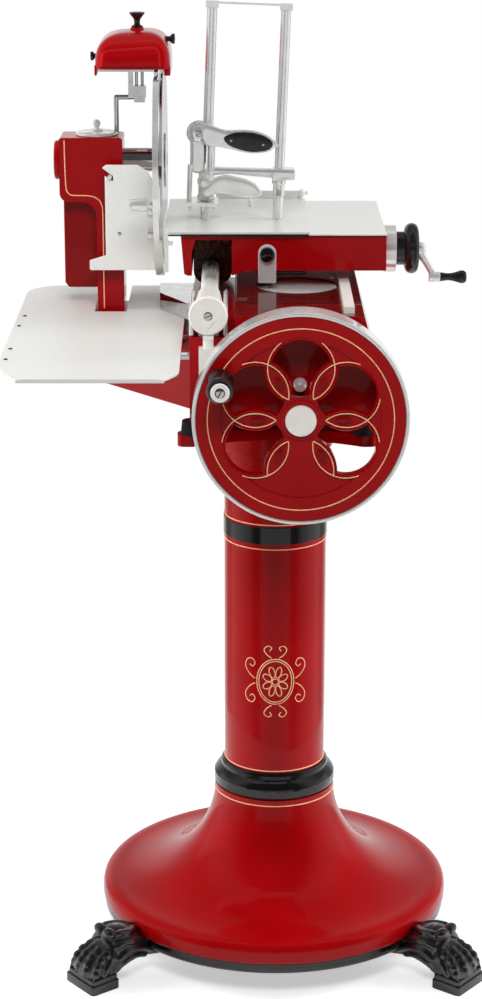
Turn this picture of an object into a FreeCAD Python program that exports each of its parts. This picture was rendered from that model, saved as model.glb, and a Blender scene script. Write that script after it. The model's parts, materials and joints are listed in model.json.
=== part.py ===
"""Hand cranked meat slicer with a flywheel drive, standing on a round cast pedestal.

All lengths are millimetres.  +Z is up, the flywheel faces -Y, the blade is on the -X side.
Sub-parts are drawn about the pedestal column's axis and moved to the row's origin at the end.
"""
import FreeCAD
import Part

import math
import os
import re

import Sketcher

doc = FreeCAD.newDocument("meat_slicer")
sheet = doc.addObject("Spreadsheet::Sheet", "dims")

SIZES = {
    # place of the column's axis from the row's origin
    "axis_x": 39, "axis_y": -46,
    # pedestal
    "ring_bottom": 41, "disc_bottom": 52, "disc_top": 95, "disc_rad": 283, "rim_drop": 24,
    "neck_rad": 97, "rim_flat": 25, "ring_wide": 47, "shell": 9,
    "column_rad": 81, "column_wall": 7, "neck_seat": 60, "head_skirt": 44, "scoop_out": 194, "tie_nut_height": 12,
    "plinth_deep": 52, "tie_nut_grow": 1.8, "collar_height": 42, "collar_bulge": 17,
    "band_low": 683, "band_high": 711, "band_thick": 1.5,
    "head_top": 890, "head_thick": 18, "head_arm_x": 150, "head_arm_y": 190, "head_arm_wide": 46,
    "paw_reach": 396, "paw_wide": 75, "paw_spread": 52, "plinth_height": 24,
    "tie_rad": 9, "seam": 0.3, "run_gap": 0.06,
    # machine base
    "foot_height": 20, "foot_rad": 17, "foot_x": 128, "foot_y": 176,
    "base_left": -131, "base_right": 172, "base_right_top": 128, "base_front": -190, "base_back": 262,
    "base_top": 1072, "shelf_top": 1040, "shelf_right": -64, "base_wall": 9,
    "wing_left": -300, "wing_front": 92, "wing_high": 1000, "wing_nose": -120,
    # drive
    "shaft_z": 932, "shaft_x": 33, "shaft_rad": 8, "bevel_big": 17, "bevel_small": 9,
    "crank_y": 40, "crank_disc_rad": 62, "crank_pin_reach": 50, "crank_pin_rad": 6, "link_long": 150,
    "link_thick": 5, "bevel_gap": 0.25,
    "sprocket_low_rad": 20, "sprocket_high_rad": 12, "chain_x": -266, "chain_thick": 5,
    # flywheel
    "wheel_front": -262, "wheel_rear": -212, "wheel_rad": 160, "face_rad": 154, "web_thick": 16,
    "hub_rad": 24, "cap_seat": 3, "petal_reach": 77, "petal_rad": 49, "petal_rim": 5, "dish_rad": 118,
    "handle_reach": 132, "handle_turn": 153, "handle_long": 76, "handle_rad": 20,
    # blade and casing
    "blade_y": 175, "blade_z": 1248, "blade_face": -176, "blade_rad": 160, "blade_thick": 4,
    "ring_inner": 166, "ring_outer": 184, "ring_thick": 9, "blade_shaft_rad": 10,
    "housing_rad": 19, "case_left": -343, "case_top": 1288, "case_low": 1186,
    "case_front": 138, "case_back": 212, "leg_left": -285, "leg_right": -242, "case_wall": 6,
    "case_round": 14, "leg_curve": 22, "rear_left": -339, "rear_back": 262, "rear_low": 1042,
    # carriage
    "rod_x": -103, "rod_z": 1075, "rod_rad": 14, "rod_front": -194, "rod_back": 432,
    "deck_left": -148, "deck_right": 171, "deck_front": 12, "deck_back": 322, "deck_z": 1155,
    "body_low": 1099, "cheek_wide": 17, "tunnel_wide": 62, "body_wall": 8, "plate_thick": 3, "deck_thick": 2, "bush_front": 160, "bush_rear": 270, "bush_long": 38, "latch_x": -14,
    "runner_wide": 14, "feed_travel": 94,
    "table_left": -173, "table_right": 52, "table_gap": 0.4,
    "screw_y": 100, "screw_z": 1119, "screw_rad": 7, "scale_rad": 37, "dial_rad": 39.5,
    "rail_left": 98, "rail_right": 114, "rail_thick": 10, "roller_rad": 12,
    # meat press
    "post_left": -112, "post_right": 3, "post_y": 134, "post_rad": 8, "post_top": 1496,
    "press_low": 1196, "press_high": 1302, "press_lean": 2.2, "foot_stem_low": 1186,
    # tray
    "tray_z": 1010, "tray_thick": 3, "tray_left": -410, "tray_right": -144, "tray_front": -339,
    "tray_back": 325, "tray_notch": 118, "tray_lip": 3, "fence_high": 14,
    # sharpener
    "hood_left": -283, "hood_right": -170, "hood_bite": 20, "hood_tall": 64, "hood_deep": 150,
    "hood_wall": 4, "hood_lift": 11, "hood_round": 20,
    "arm_rad": 4,
}

for row, (alias, value) in enumerate(SIZES.items(), start=1):
    sheet.set(f"A{row}", alias)
    sheet.set(f"B{row}", str(value))
    sheet.setAlias(f"B{row}", alias)
doc.recompute()

NAMES = re.compile(r"\b(" + "|".join(SIZES) + r")\b")

# The bell sweeps up from the rim's flat to the neck in a quarter circle.
TRUMPET_RAD = "(disc_rad - rim_flat - neck_rad)"
NECK_TOP = "(disc_top + disc_rad - rim_flat - neck_rad)"
# The hood takes a bite of the blade's upper edge, and the stones in it work there.
HOOD_LOW = "(blade_z + blade_rad - hood_bite)"
HOOD_TOP = "(blade_z + blade_rad - hood_bite + hood_tall)"


def bound(text):
    """An expression of plain size names, written as FreeCAD reads it."""
    return NAMES.sub(r"dims.\1", str(text))


def size(text):
    """The value of an expression of size names, for shapes and sketch guesses."""
    return float(sheet.evalExpression(bound(text)))


def bind(obj, **sizes):
    for name, text in sizes.items():
        obj.setExpression(name, bound(text))


def put(obj, x=0, y=0, z=0):
    for axis, text in zip("xyz", (x, y, z)):
        obj.setExpression(f"Placement.Base.{axis}", bound(text))
    return obj


# Turns that point a primitive's own +Z along a row axis.
TURNS = {
    "+Z": FreeCAD.Rotation(),
    "-Z": FreeCAD.Rotation(FreeCAD.Vector(1, 0, 0), 180),
    "+X": FreeCAD.Rotation(FreeCAD.Vector(0, 1, 0), 90),
    "-X": FreeCAD.Rotation(FreeCAD.Vector(0, 1, 0), -90),
    "+Y": FreeCAD.Rotation(FreeCAD.Vector(1, 0, 0), -90),
    "-Y": FreeCAD.Rotation(FreeCAD.Vector(1, 0, 0), 90),
}


def primitive(kind, axis, at, **sizes):
    obj = doc.addObject(kind, kind.split("::")[1].lower())
    obj.Placement = FreeCAD.Placement(FreeCAD.Vector(), TURNS[axis])
    bind(obj, **sizes)
    return put(obj, *at)


def cylinder(radius, length, at, axis="+Z"):
    return primitive("Part::Cylinder", axis, at, Radius=radius, Height=length)


def cone(radius_1, radius_2, length, at, axis="+Z"):
    return primitive("Part::Cone", axis, at, Radius1=radius_1, Radius2=radius_2, Height=length)


def sphere(radius, at):
    return primitive("Part::Sphere", "+Z", at, Radius=radius)


def box(x, y, z):
    """A block between two coordinates along each axis."""
    return primitive(
        "Part::Box", "+Z", (x[0], y[0], z[0]),
        Length=f"({x[1]}) - ({x[0]})", Width=f"({y[1]}) - ({y[0]})", Height=f"({z[1]}) - ({z[0]})",
    )


def fuse(*shapes):
    if len(shapes) == 1:
        return shapes[0]
    obj = doc.addObject("Part::MultiFuse", "union")
    obj.Shapes = list(shapes)
    return obj


def cut(base, *tools):
    obj = doc.addObject("Part::Cut", "cut")
    obj.Base = base
    obj.Tool = fuse(*tools)
    return obj


def group(*shapes):
    """Separate solids that share one node."""
    obj = doc.addObject("Part::Compound", "set")
    obj.Links = list(shapes)
    return obj


def tube(outer, inner, length, at, axis="+Z"):
    return cut(cylinder(outer, length, at, axis), cylinder(inner, length, at, axis))


PLANES = {"XY": "XY_Plane", "XZ": "XZ_Plane", "YZ": "YZ_Plane"}


def new_body(name):
    return doc.addObject("PartDesign::Body", name)


def origin_plane(body, plane):
    return next(f for f in body.Origin.OriginFeatures if f.Role == PLANES[plane])


def sketch(body, plane, outline, offset="0"):
    """A closed outline.  Each entry is a corner (u, v), or an arc that runs on from the corner
    before it: ("arc", centre u, centre v, end u, end v, way), where way is 1 for anticlockwise."""
    sk = body.newObject("Sketcher::SketchObject", "outline")
    sk.AttachmentSupport = [(origin_plane(body, plane), "")]
    sk.MapMode = "FlatFace"
    sk.setExpression("AttachmentOffset.Base.z", bound(offset))
    ends = [entry if entry[0] != "arc" else (entry[3], entry[4]) for entry in outline]
    spots = [FreeCAD.Vector(size(u), size(v), 0) for u, v in ends]
    count = len(outline)
    tails = []
    heads = []
    for i in range(count):
        nxt = (i + 1) % count
        entry = outline[nxt]
        if entry[0] == "arc":
            centre = FreeCAD.Vector(size(entry[1]), size(entry[2]), 0)
            radius = (spots[i] - centre).Length
            start = math.atan2(spots[i].y - centre.y, spots[i].x - centre.x)
            stop = math.atan2(spots[nxt].y - centre.y, spots[nxt].x - centre.x)
            first, last = (start, stop) if entry[5] > 0 else (stop, start)
            circle = Part.Circle(centre, FreeCAD.Vector(0, 0, 1), radius)
            edge = sk.addGeometry(Part.ArcOfCircle(circle, first, last), False)
            tails.append((edge, 1 if entry[5] > 0 else 2))
            heads.append((edge, 2 if entry[5] > 0 else 1))
            fix(sk, edge, 3, entry[1], entry[2], centre)
        else:
            edge = sk.addGeometry(Part.LineSegment(spots[i], spots[nxt]), False)
            tails.append((edge, 1))
            heads.append((edge, 2))
    for i in range(count):
        tail, head = tails[i], heads[i - 1]
        sk.addConstraint(Sketcher.Constraint("Coincident", head[0], head[1], tail[0], tail[1]))
        u, v = ends[i]
        entry = outline[i]
        if entry[0] == "arc":
            lean = spots[i] - FreeCAD.Vector(size(entry[1]), size(entry[2]), 0)
            if abs(lean.y) > abs(lean.x):
                fix(sk, tail[0], tail[1], u, None, spots[i])
            else:
                fix(sk, tail[0], tail[1], None, v, spots[i])
        else:
            fix(sk, tail[0], tail[1], u, v, spots[i])
    return sk


def fix(sk, edge, point, u, v, spot):
    """Hold a point at the distances u and v from the sketch's origin."""
    for kind, text, value in (("DistanceX", u, spot.x), ("DistanceY", v, spot.y)):
        if text is None:
            continue
        index = sk.addConstraint(Sketcher.Constraint(kind, -1, 1, edge, point, value))
        sk.setExpression(f"Constraints[{index}]", bound(text))


def pad(body, plane, outline, low, high):
    """Extrude an outline between two coordinates along the plane's normal."""
    # The XZ plane's normal points along -Y, so its pads run the other way.
    start = f"-({high})" if plane == "XZ" else low
    sk = sketch(body, plane, outline, start)
    feature = body.newObject("PartDesign::Pad", "pad")
    feature.Profile = sk
    bind(feature, Length=f"({high}) - ({low})")
    return feature


def pocket(body, plane, outline, low, high):
    """Cut an outline out of the body between two coordinates along the plane's normal."""
    start = f"-({low})" if plane == "XZ" else high
    sk = sketch(body, plane, outline, start)
    feature = body.newObject("PartDesign::Pocket", "pocket")
    feature.Profile = sk
    bind(feature, Length=f"({high}) - ({low})")
    return feature


def fillet(body, radius, wanted):
    """Round the edges of the body's last feature that the test picks."""
    doc.recompute()
    base = body.Tip
    names = [f"Edge{i}" for i, edge in enumerate(base.Shape.Edges, start=1) if wanted(edge)]
    feature = body.newObject("PartDesign::Fillet", "fillet")
    feature.Base = (base, names)
    bind(feature, Radius=radius)
    return feature


def turned(name, outline, at=(0, 0, 0), axis="+Z"):
    """A body of revolution: the outline's u is the radius and its v runs along the axis."""
    body = new_body(name)
    sk = sketch(body, "XZ", outline)
    feature = body.newObject("PartDesign::Revolution", "turn")
    feature.Profile = sk
    feature.ReferenceAxis = (sk, ["V_Axis"])
    feature.Angle = 360
    body.Placement = FreeCAD.Placement(FreeCAD.Vector(), TURNS[axis])
    return put(body, *at)


def rect(u1, v1, u2, v2):
    return [(u1, v1), (u2, v1), (u2, v2), (u1, v2)]


def runs_along(edge, way):
    """Whether an edge is straight and parallel to a unit vector."""
    if not isinstance(edge.Curve, Part.Line):
        return False
    return abs(abs(edge.Curve.Direction.dot(way)) - 1) < 1e-6


X = FreeCAD.Vector(1, 0, 0)
Y = FreeCAD.Vector(0, 1, 0)
Z = FreeCAD.Vector(0, 0, 1)

pieces = {}


def piece(label, obj, leans=False):
    """Name a finished sub-part and move it from the column's axis to the row's origin."""
    obj.Label = label
    pieces[label] = obj
    old = {path.lstrip("."): text for path, text in obj.ExpressionEngine}
    spot = {a: old.get(f"Placement.Base.{a}", "0") for a in "xyz"}
    if leans:
        tilt_piece(obj, spot)
    else:
        obj.setExpression("Placement.Base.x", f"({spot['x']}) + dims.axis_x")
        obj.setExpression("Placement.Base.y", f"({spot['y']}) + dims.axis_y")
        obj.setExpression("Placement.Base.z", f"({spot['z']})")
    return obj


def tilt_piece(obj, spot):
    """Lean a press sub-part about the foot of the left post, and move it to the row's origin."""
    foot_x = "dims.post_left"
    foot_z = "(dims.deck_z + dims.plate_thick)"
    dx = f"(({spot['x']}) - {foot_x})"
    dz = f"(({spot['z']}) - {foot_z})"
    turn = "dims.press_lean * 1 deg"
    obj.setExpression("Placement.Base.x",
                      f"dims.axis_x + {foot_x} + {dx} * cos({turn}) + {dz} * sin({turn})")
    obj.setExpression("Placement.Base.y", f"({spot['y']}) + dims.axis_y")
    obj.setExpression("Placement.Base.z", f"{foot_z} + {dz} * cos({turn}) - {dx} * sin({turn})")
    lean = FreeCAD.Rotation(Y, size("press_lean"))
    obj.Placement = FreeCAD.Placement(obj.Placement.Base, lean.multiply(obj.Placement.Rotation))


# ---------------------------------------------------------------- pedestal

def bell():
    """Cast bell: a disc with a rolled rim that sweeps up to the column's neck, open below."""
    foot = f"neck_rad + {TRUMPET_RAD}"
    sweep = (foot, NECK_TOP)
    ledge = f"{NECK_TOP} - neck_seat"
    inner = f"{foot} - sqrt(({TRUMPET_RAD} + shell)^2 - neck_seat^2)"
    return turned("bell", [
        ("column_rad", ledge), (inner, ledge),
        ("arc", *sweep, foot, "disc_top - shell", 1),
        ("disc_rad - shell", "disc_top - shell"), ("disc_rad - shell", "disc_bottom"),
        ("disc_rad - 4", "disc_bottom"), ("disc_rad", "disc_bottom + 5"),
        ("disc_rad", "disc_top - rim_drop"), ("disc_rad - 4", "disc_top - rim_drop / 3"),
        ("disc_rad - 12", "disc_top"), (foot, "disc_top"),
        ("arc", *sweep, "neck_rad", NECK_TOP, -1), ("column_rad", NECK_TOP),
    ])


def foot_collar():
    """Moulded collar at the column's foot: a bulge between two steps."""
    low, high = NECK_TOP, f"{NECK_TOP} + collar_height"
    bulge = "column_rad + collar_bulge"
    step = "column_rad + collar_bulge / 3"
    return turned("collar", [
        ("column_rad", low), (f"{bulge} - 3", low), (bulge, f"{low} + collar_height / 10"),
        (bulge, f"{low} + collar_height * 0.45"), (f"{bulge} - 4", f"{low} + collar_height * 0.6"),
        (step, f"{low} + collar_height * 0.75"), (step, f"{low} + collar_height * 0.9"),
        (f"{step} - 3", high), ("column_rad", high),
    ])


def head_plate(low, high):
    """Four arms with scooped sides between them."""
    x, y, wide = "head_arm_x", "head_arm_y", "head_arm_wide / 2"
    body = new_body("head")
    pad(body, "XY", [
        (x, f"-({y} - {wide})"), ("arc", f"{x} + scoop_out", "0", x, f"{y} - {wide}", -1),
        (x, y), (f"{x} - {wide}", y), ("arc", "0", f"{y} + scoop_out", f"-({x} - {wide})", y, -1),
        (f"-{x}", y), (f"-{x}", f"{y} - {wide}"),
        ("arc", f"-({x} + scoop_out)", "0", f"-{x}", f"-({y} - {wide})", -1),
        (f"-{x}", f"-{y}"), (f"-({x} - {wide})", f"-{y}"),
        ("arc", "0", f"-({y} + scoop_out)", f"{x} - {wide}", f"-{y}", -1), (x, f"-{y}"),
    ], low, high)
    corners = math.hypot(size("head_arm_x"), size("head_arm_y")) - 1
    fillet(body, "head_arm_wide / 4", lambda e: runs_along(e, Z)
           and math.hypot(e.CenterOfMass.x, e.CenterOfMass.y) > corners)
    return body


def paw_section(x, across, low, high):
    """A closed outline across the leg: flat below, rounded over the top."""
    half, tall = across / 2, high - low
    points = []
    # half width and height, as shares
    for side, rise in ((1.0, 0.30), (0.55, 0.0), (-0.55, 0.0), (-1.0, 0.30), (-1.0, 0.58), (-0.82, 0.80),
                       (-0.48, 0.95), (0.0, 1.0), (0.48, 0.95), (0.82, 0.80), (1.0, 0.58)):
        points.append(FreeCAD.Vector(x, half * side, low + tall * rise))
    return Part.makePolygon(points + points[:1])


def paw():
    """A paw that reaches outwards along +X: a lofted leg and toes on a square plinth."""
    reach, wide = size("paw_reach"), size("paw_wide")
    root, under = size("disc_rad - ring_wide"), size("ring_bottom")
    sections = (
        # share of the reach, width, underside and top of the leg, over the floor
        (0.0, wide * 0.80, under * 0.45, under * 1.15), (0.20, wide * 0.84, under * 0.55, under * 1.40),
        (0.40, wide * 0.88, under * 0.61, under * 2.05), (0.54, wide * 0.95, under * 0.56, under * 2.20),
        (0.66, wide * 0.97, under * 0.40, under * 2.10), (0.80, wide * 0.96, 9, under * 1.62),
        (0.92, wide * 0.92, 9, under * 1.22), (0.985, wide * 0.80, 10, under * 0.83),
    )
    leg = Part.makeLoft([paw_section(root + share * (reach - root), across, low, high)
                         for share, across, low, high in sections], True, True)
    deep, tall = size("plinth_deep"), size("plinth_height")
    plinth = Part.makeBox(deep, wide, tall, FreeCAD.Vector(reach - deep, -wide / 2, 0))
    upright = [edge for edge in plinth.Edges if runs_along(edge, Z)]
    plinth = plinth.makeChamfer(6, upright)
    disc = Part.makeCylinder(size("disc_rad + seam"), size("disc_top"), FreeCAD.Vector(0, 0, under), Z)
    disc.rotate(FreeCAD.Vector(), Z, 180)
    shape = plinth.fuse(leg).cut(disc).removeSplitter()
    obj = doc.addObject("Part::Feature", "paw")
    obj.Shape = shape
    return obj


def pedestal():
    piece("pedestal_bell", bell())
    piece("base_ring", turned("ring", [
        ("disc_rad - ring_wide", "ring_bottom"), ("disc_rad - 17", "ring_bottom"),
        ("disc_rad - 5", "disc_bottom"), ("disc_rad - ring_wide", "disc_bottom"),
    ]))
    low, high = "head_top - head_thick", "head_top"
    ledge = f"{NECK_TOP} - neck_seat"
    piece("column", tube("column_rad", "column_rad - column_wall", f"{low} - ({ledge})", (0, 0, ledge)))
    band = tube("column_rad + band_thick", "column_rad", "band_high - band_low", (0, 0, "band_low"))
    piece("column_collars", group(foot_collar(), band))
    skirt = tube("column_rad + shell", "column_rad", "head_skirt", (0, 0, f"{low} - head_skirt"))
    hole = cylinder("tie_rad + seam", "head_thick * 2", (0, 0, f"{low} - head_thick / 2"))
    piece("pedestal_head", cut(fuse(head_plate(low, high), skirt), hole))
    # A tie rod through the column clamps the bell, the column and the head together.
    plate, thick, nut = f"{ledge} - shell", "shell", "tie_nut_height"
    rod = cylinder("tie_rad", f"{high} - ({plate}) + 2 * {nut}", (0, 0, f"{plate} - {nut}"))
    washer = tube("column_rad + shell", "tie_rad + seam", thick, (0, 0, plate))
    piece("tie_rod", group(rod, washer, tube("tie_rad * tie_nut_grow", "tie_rad", nut, (0, 0, f"{plate} - {nut}")),
                           tube("tie_rad * tie_nut_grow", "tie_rad", nut, (0, 0, high))))
    feet = []
    # One paw points to the rear, and two stand spread to the sides of the front.
    for turn in (90, 270 - size("paw_spread"), 270 + size("paw_spread")):
        foot = paw()
        foot.Placement = FreeCAD.Placement(FreeCAD.Vector(), FreeCAD.Rotation(Z, turn))
        feet.append(foot)
    piece("lion_paws", group(*feet))


pedestal()


# ---------------------------------------------------------------- machine base

base_low = "head_top + foot_height"


def machine_base():
    """Cast base, open below: a tapered box with a wing on the left that carries the casing."""
    body = new_body("base")
    slope = "base_right_top"
    pad(body, "XZ", [("base_left", base_low), ("base_right", base_low), (slope, "base_top"),
                     ("shelf_right", "base_top"), ("shelf_right", "shelf_top"), ("base_left", "shelf_top")],
        "base_front", "base_back")
    wall = "base_wall"
    pad(body, "XY", [("base_left + base_wall", "wing_nose"), ("base_left + base_wall", "base_back"),
                     ("wing_left", "base_back"), ("wing_left", "wing_front")], base_low, "wing_high")
    pocket(body, "XZ", [(f"base_left + {wall}", base_low), (f"base_right - {wall} * 1.2", base_low),
                        (f"{slope} - {wall} * 1.2", f"base_top - {wall}"),
                        (f"shelf_right + {wall}", f"base_top - {wall}"),
                        (f"shelf_right + {wall}", f"shelf_top - {wall}"),
                        (f"base_left + {wall}", f"shelf_top - {wall}")],
           f"base_front + {wall}", f"base_back - {wall}")
    pocket(body, "XY", [("base_left + base_wall * 2", "wing_nose + base_wall * 2.4"),
                        ("base_left + base_wall * 2", f"base_back - {wall}"),
                        (f"wing_left + {wall}", f"base_back - {wall}"),
                        (f"wing_left + {wall}", f"wing_front + {wall}")],
           base_low, f"wing_high - {wall}")
    doc.recompute()
    return body


def base_and_drive():
    front_bore = cylinder("shaft_rad * 2", "base_wall * 3", ("shaft_x", "base_front - base_wall", "shaft_z"), "+Y")
    # Webs inside the base carry the shafts' inner bearings.
    web_y = ("blade_y - bevel_big * 2 - 24", "blade_y - bevel_big * 2 - 10")
    web = box(("base_left + base_wall - 0.5", "base_right - base_wall * 3"), web_y, (base_low, "shaft_z + 40"))
    web_bore = cylinder("shaft_rad * 2", "60", ("shaft_x", f"{web_y[0]} - 20", "shaft_z"), "+Y")
    shelf = box(("base_left + base_wall - 0.5", "shaft_x + 80"), ("crank_y - 26", "crank_y + 26"),
                ("shaft_z + 50", "shaft_z + 64"))
    shelf_bore = cylinder("shaft_rad * 2", "40", ("shaft_x", "crank_y", "shaft_z + 40"))
    side_bore = cylinder("shaft_rad * 2", "60", ("base_left - 20", "blade_y", "shaft_z"))
    side_bore.Placement = FreeCAD.Placement(side_bore.Placement.Base, TURNS["+X"])
    chain_slot = box(("chain_x - 16", "chain_x + 16"), ("blade_y - 32", "blade_y + 32"),
                     ("wing_high - base_wall * 2", "wing_high + 1"))
    # The crank disc lies in a round window in the top.
    window = cylinder("crank_disc_rad + 2", "base_wall * 3", ("shaft_x", "crank_y", "base_top - base_wall * 2"))
    shell = cut(machine_base(), front_bore, side_bore, chain_slot, window)
    base = cut(fuse(shell, web, shelf), web_bore, shelf_bore)
    piece("machine_base", base)
    feet = []
    for sx in (-1, 1):
        for sy in (-1, 1):
            feet.append(cone("foot_rad", "foot_rad - 2", "foot_height",
                             (f"{sx} * foot_x", f"{sy} * foot_y", "head_top")))
    piece("rubber_feet", group(*feet))
    outer, fit = "shaft_rad * 2", "shaft_rad + run_gap"
    front = ("shaft_x", "base_front", "shaft_z")
    flanged = fuse(tube(outer, fit, "base_wall", front, "+Y"),
                   tube("shaft_rad * 2 + 6", fit, "4", ("shaft_x", "base_front - 4", "shaft_z"), "+Y"))
    bushes = [
        flanged,
        tube(outer, fit, f"({web_y[1]}) - ({web_y[0]})", ("shaft_x", web_y[0], "shaft_z"), "+Y"),
        tube(outer, fit, "14", ("shaft_x", "crank_y", "shaft_z + 50")),
        tube(outer, fit, "base_wall", ("base_left", "blade_y", "shaft_z"), "+X"),
        tube("blade_shaft_rad + 4", "blade_shaft_rad + run_gap", "leg_left + case_wall - case_left - 1",
             ("case_left + 1", "blade_y", "blade_z"), "+X"),
    ]
    piece("shaft_bushes", group(*bushes))
    shafts()


def bevel(at, axis):
    """A mitre bevel's pitch cone, wide end first."""
    return cone("bevel_big", "bevel_small", "bevel_big - bevel_small", at, axis)


def shafts():
    """Main shaft, upright crank shaft and cross shaft, with their bevels forged on."""
    big, small, mesh = "bevel_big", "bevel_small", "bevel_gap"
    x, z = "shaft_x", "shaft_z"
    piece("main_shaft", fuse(
        cylinder("shaft_rad", f"blade_y - {small} - wheel_front - cap_seat",
                 (x, "wheel_front + cap_seat", z), "+Y"),
        bevel((x, f"crank_y - {big} - {mesh}", z), "+Y"),
        bevel((x, f"blade_y - {big} - {mesh}", z), "+Y"),
    ))
    low = f"{z} + {small} + {mesh} * 2"
    disc_low, disc_high = "base_top - base_wall * 2", "base_top - 3"
    pin_x = f"{x} - crank_pin_reach"
    piece("crank_shaft", fuse(
        cylinder("shaft_rad", f"{disc_low} - ({low}) + 2", (x, "crank_y", low)),
        bevel((x, "crank_y", f"{z} + {big} + {mesh}"), "-Z"),
        cylinder("crank_disc_rad", f"({disc_high}) - ({disc_low})", (x, "crank_y", disc_low)),
        cylinder("crank_pin_rad", "link_thick + 5", (pin_x, "crank_y", disc_high)),
    ))
    link_low = f"{disc_high} + 3.5"
    thick = "link_thick"
    piece("connecting_rod", fuse(
        tube("crank_pin_rad * 2", "crank_pin_rad + run_gap", thick, (pin_x, "crank_y", link_low)),
        box((f"{pin_x} - 5", f"{pin_x} + 5"),
            ("crank_y + crank_pin_rad * 1.6", "crank_y + link_long - crank_pin_rad * 1.6"),
            (link_low, f"{link_low} + {thick}")),
        tube("crank_pin_rad * 2", "crank_pin_rad + 2", thick, (pin_x, "crank_y + link_long", link_low)),
    ))
    end = "chain_x - chain_thick"
    piece("cross_shaft", fuse(
        cylinder("shaft_rad", f"{x} - {small} - {mesh} * 2 - ({end})", (end, "blade_y", z), "+X"),
        bevel((f"{x} - {big} - {mesh}", "blade_y", z), "+X"),
        cylinder("sprocket_low_rad", "chain_thick", ("chain_x - chain_thick / 2", "blade_y", z), "+X"),
    ))


base_and_drive()


# ---------------------------------------------------------------- flywheel

def flywheel():
    front, rear = "wheel_front", "wheel_rear"
    spot = ("shaft_x", front, "shaft_z")
    disc = cylinder("face_rad", "web_thick", spot, "+Y")
    rim = tube("face_rad", "face_rad - 12", f"{rear} - ({front})", spot, "+Y")
    hub = cylinder("hub_rad", f"{rear} - 8 - ({front})", spot, "+Y")
    dish = tube("dish_rad", "hub_rad + 6", "3", spot, "+Y")
    windows = []
    for turn in (90, 30, -30, 210, 150):
        windows.append(petal_window(turn))
    bore = cylinder("shaft_rad", "80", ("shaft_x", f"{front} - 10", "shaft_z"), "+Y")
    seat = cylinder("hub_rad - 1", "cap_seat", ("shaft_x", front, "shaft_z"), "+Y")
    stud = cylinder("6", "web_thick + 4", handle_spot(f"{front} - 2"), "+Y")
    wheel = cut(cut(fuse(disc, rim, hub), dish), *windows, bore, seat, stud)
    piece("flywheel", wheel)
    piece("flywheel_rim", tube("wheel_rad", "face_rad", f"{rear} - ({front})", spot, "+Y"))
    proud = "cap_seat * 2"
    piece("hub_cap", cylinder("hub_rad - 1", f"cap_seat + {proud}",
                              ("shaft_x", f"{front} - {proud}", "shaft_z"), "+Y"))
    gap = "seam"
    piece("handle_pin", fuse(
        cylinder("6", f"handle_long + web_thick - 4", handle_spot(f"{front} - handle_long + 4"), "+Y"),
        cylinder("handle_rad - 6", "6", handle_spot(f"{front} - handle_long - 2"), "+Y"),
    ))
    piece("crank_handle", turned("grip", [
        ("6 + run_gap", gap), ("handle_rad - 2", gap), ("handle_rad", "5"),
        ("handle_rad - 5", "handle_long * 0.24"), ("handle_rad - 3", "handle_long * 0.5"),
        ("handle_rad", "handle_long * 0.74"), ("handle_rad - 1", "handle_long * 0.86"),
        ("handle_rad - 6", "handle_long - 6"), ("handle_rad - 6", "handle_long - 4.3"),
        ("6 + run_gap", "handle_long - 4.3"),
    ], handle_spot(front), "-Y"))


def handle_spot(y):
    return ("shaft_x + handle_reach * cos(handle_turn * 1 deg)", y,
            "shaft_z + handle_reach * sin(handle_turn * 1 deg)")


def petal_spot(turn):
    return (f"shaft_x + petal_reach * cos({turn} deg)", "wheel_front - 2",
            f"shaft_z + petal_reach * sin({turn} deg)")


def petal_window(turn):
    """One window: a circle less its two neighbours, which meet it in the lens-shaped spokes."""
    length = "web_thick + 4"
    whole = cylinder("petal_rad - petal_rim", length, petal_spot(turn), "+Y")
    beside = [cylinder("petal_rad + petal_rim", length, petal_spot(turn + step), "+Y")
              for step in (-60, 60)]
    return cut(whole, *beside)


flywheel()


# ---------------------------------------------------------------- casing and blade

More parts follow.
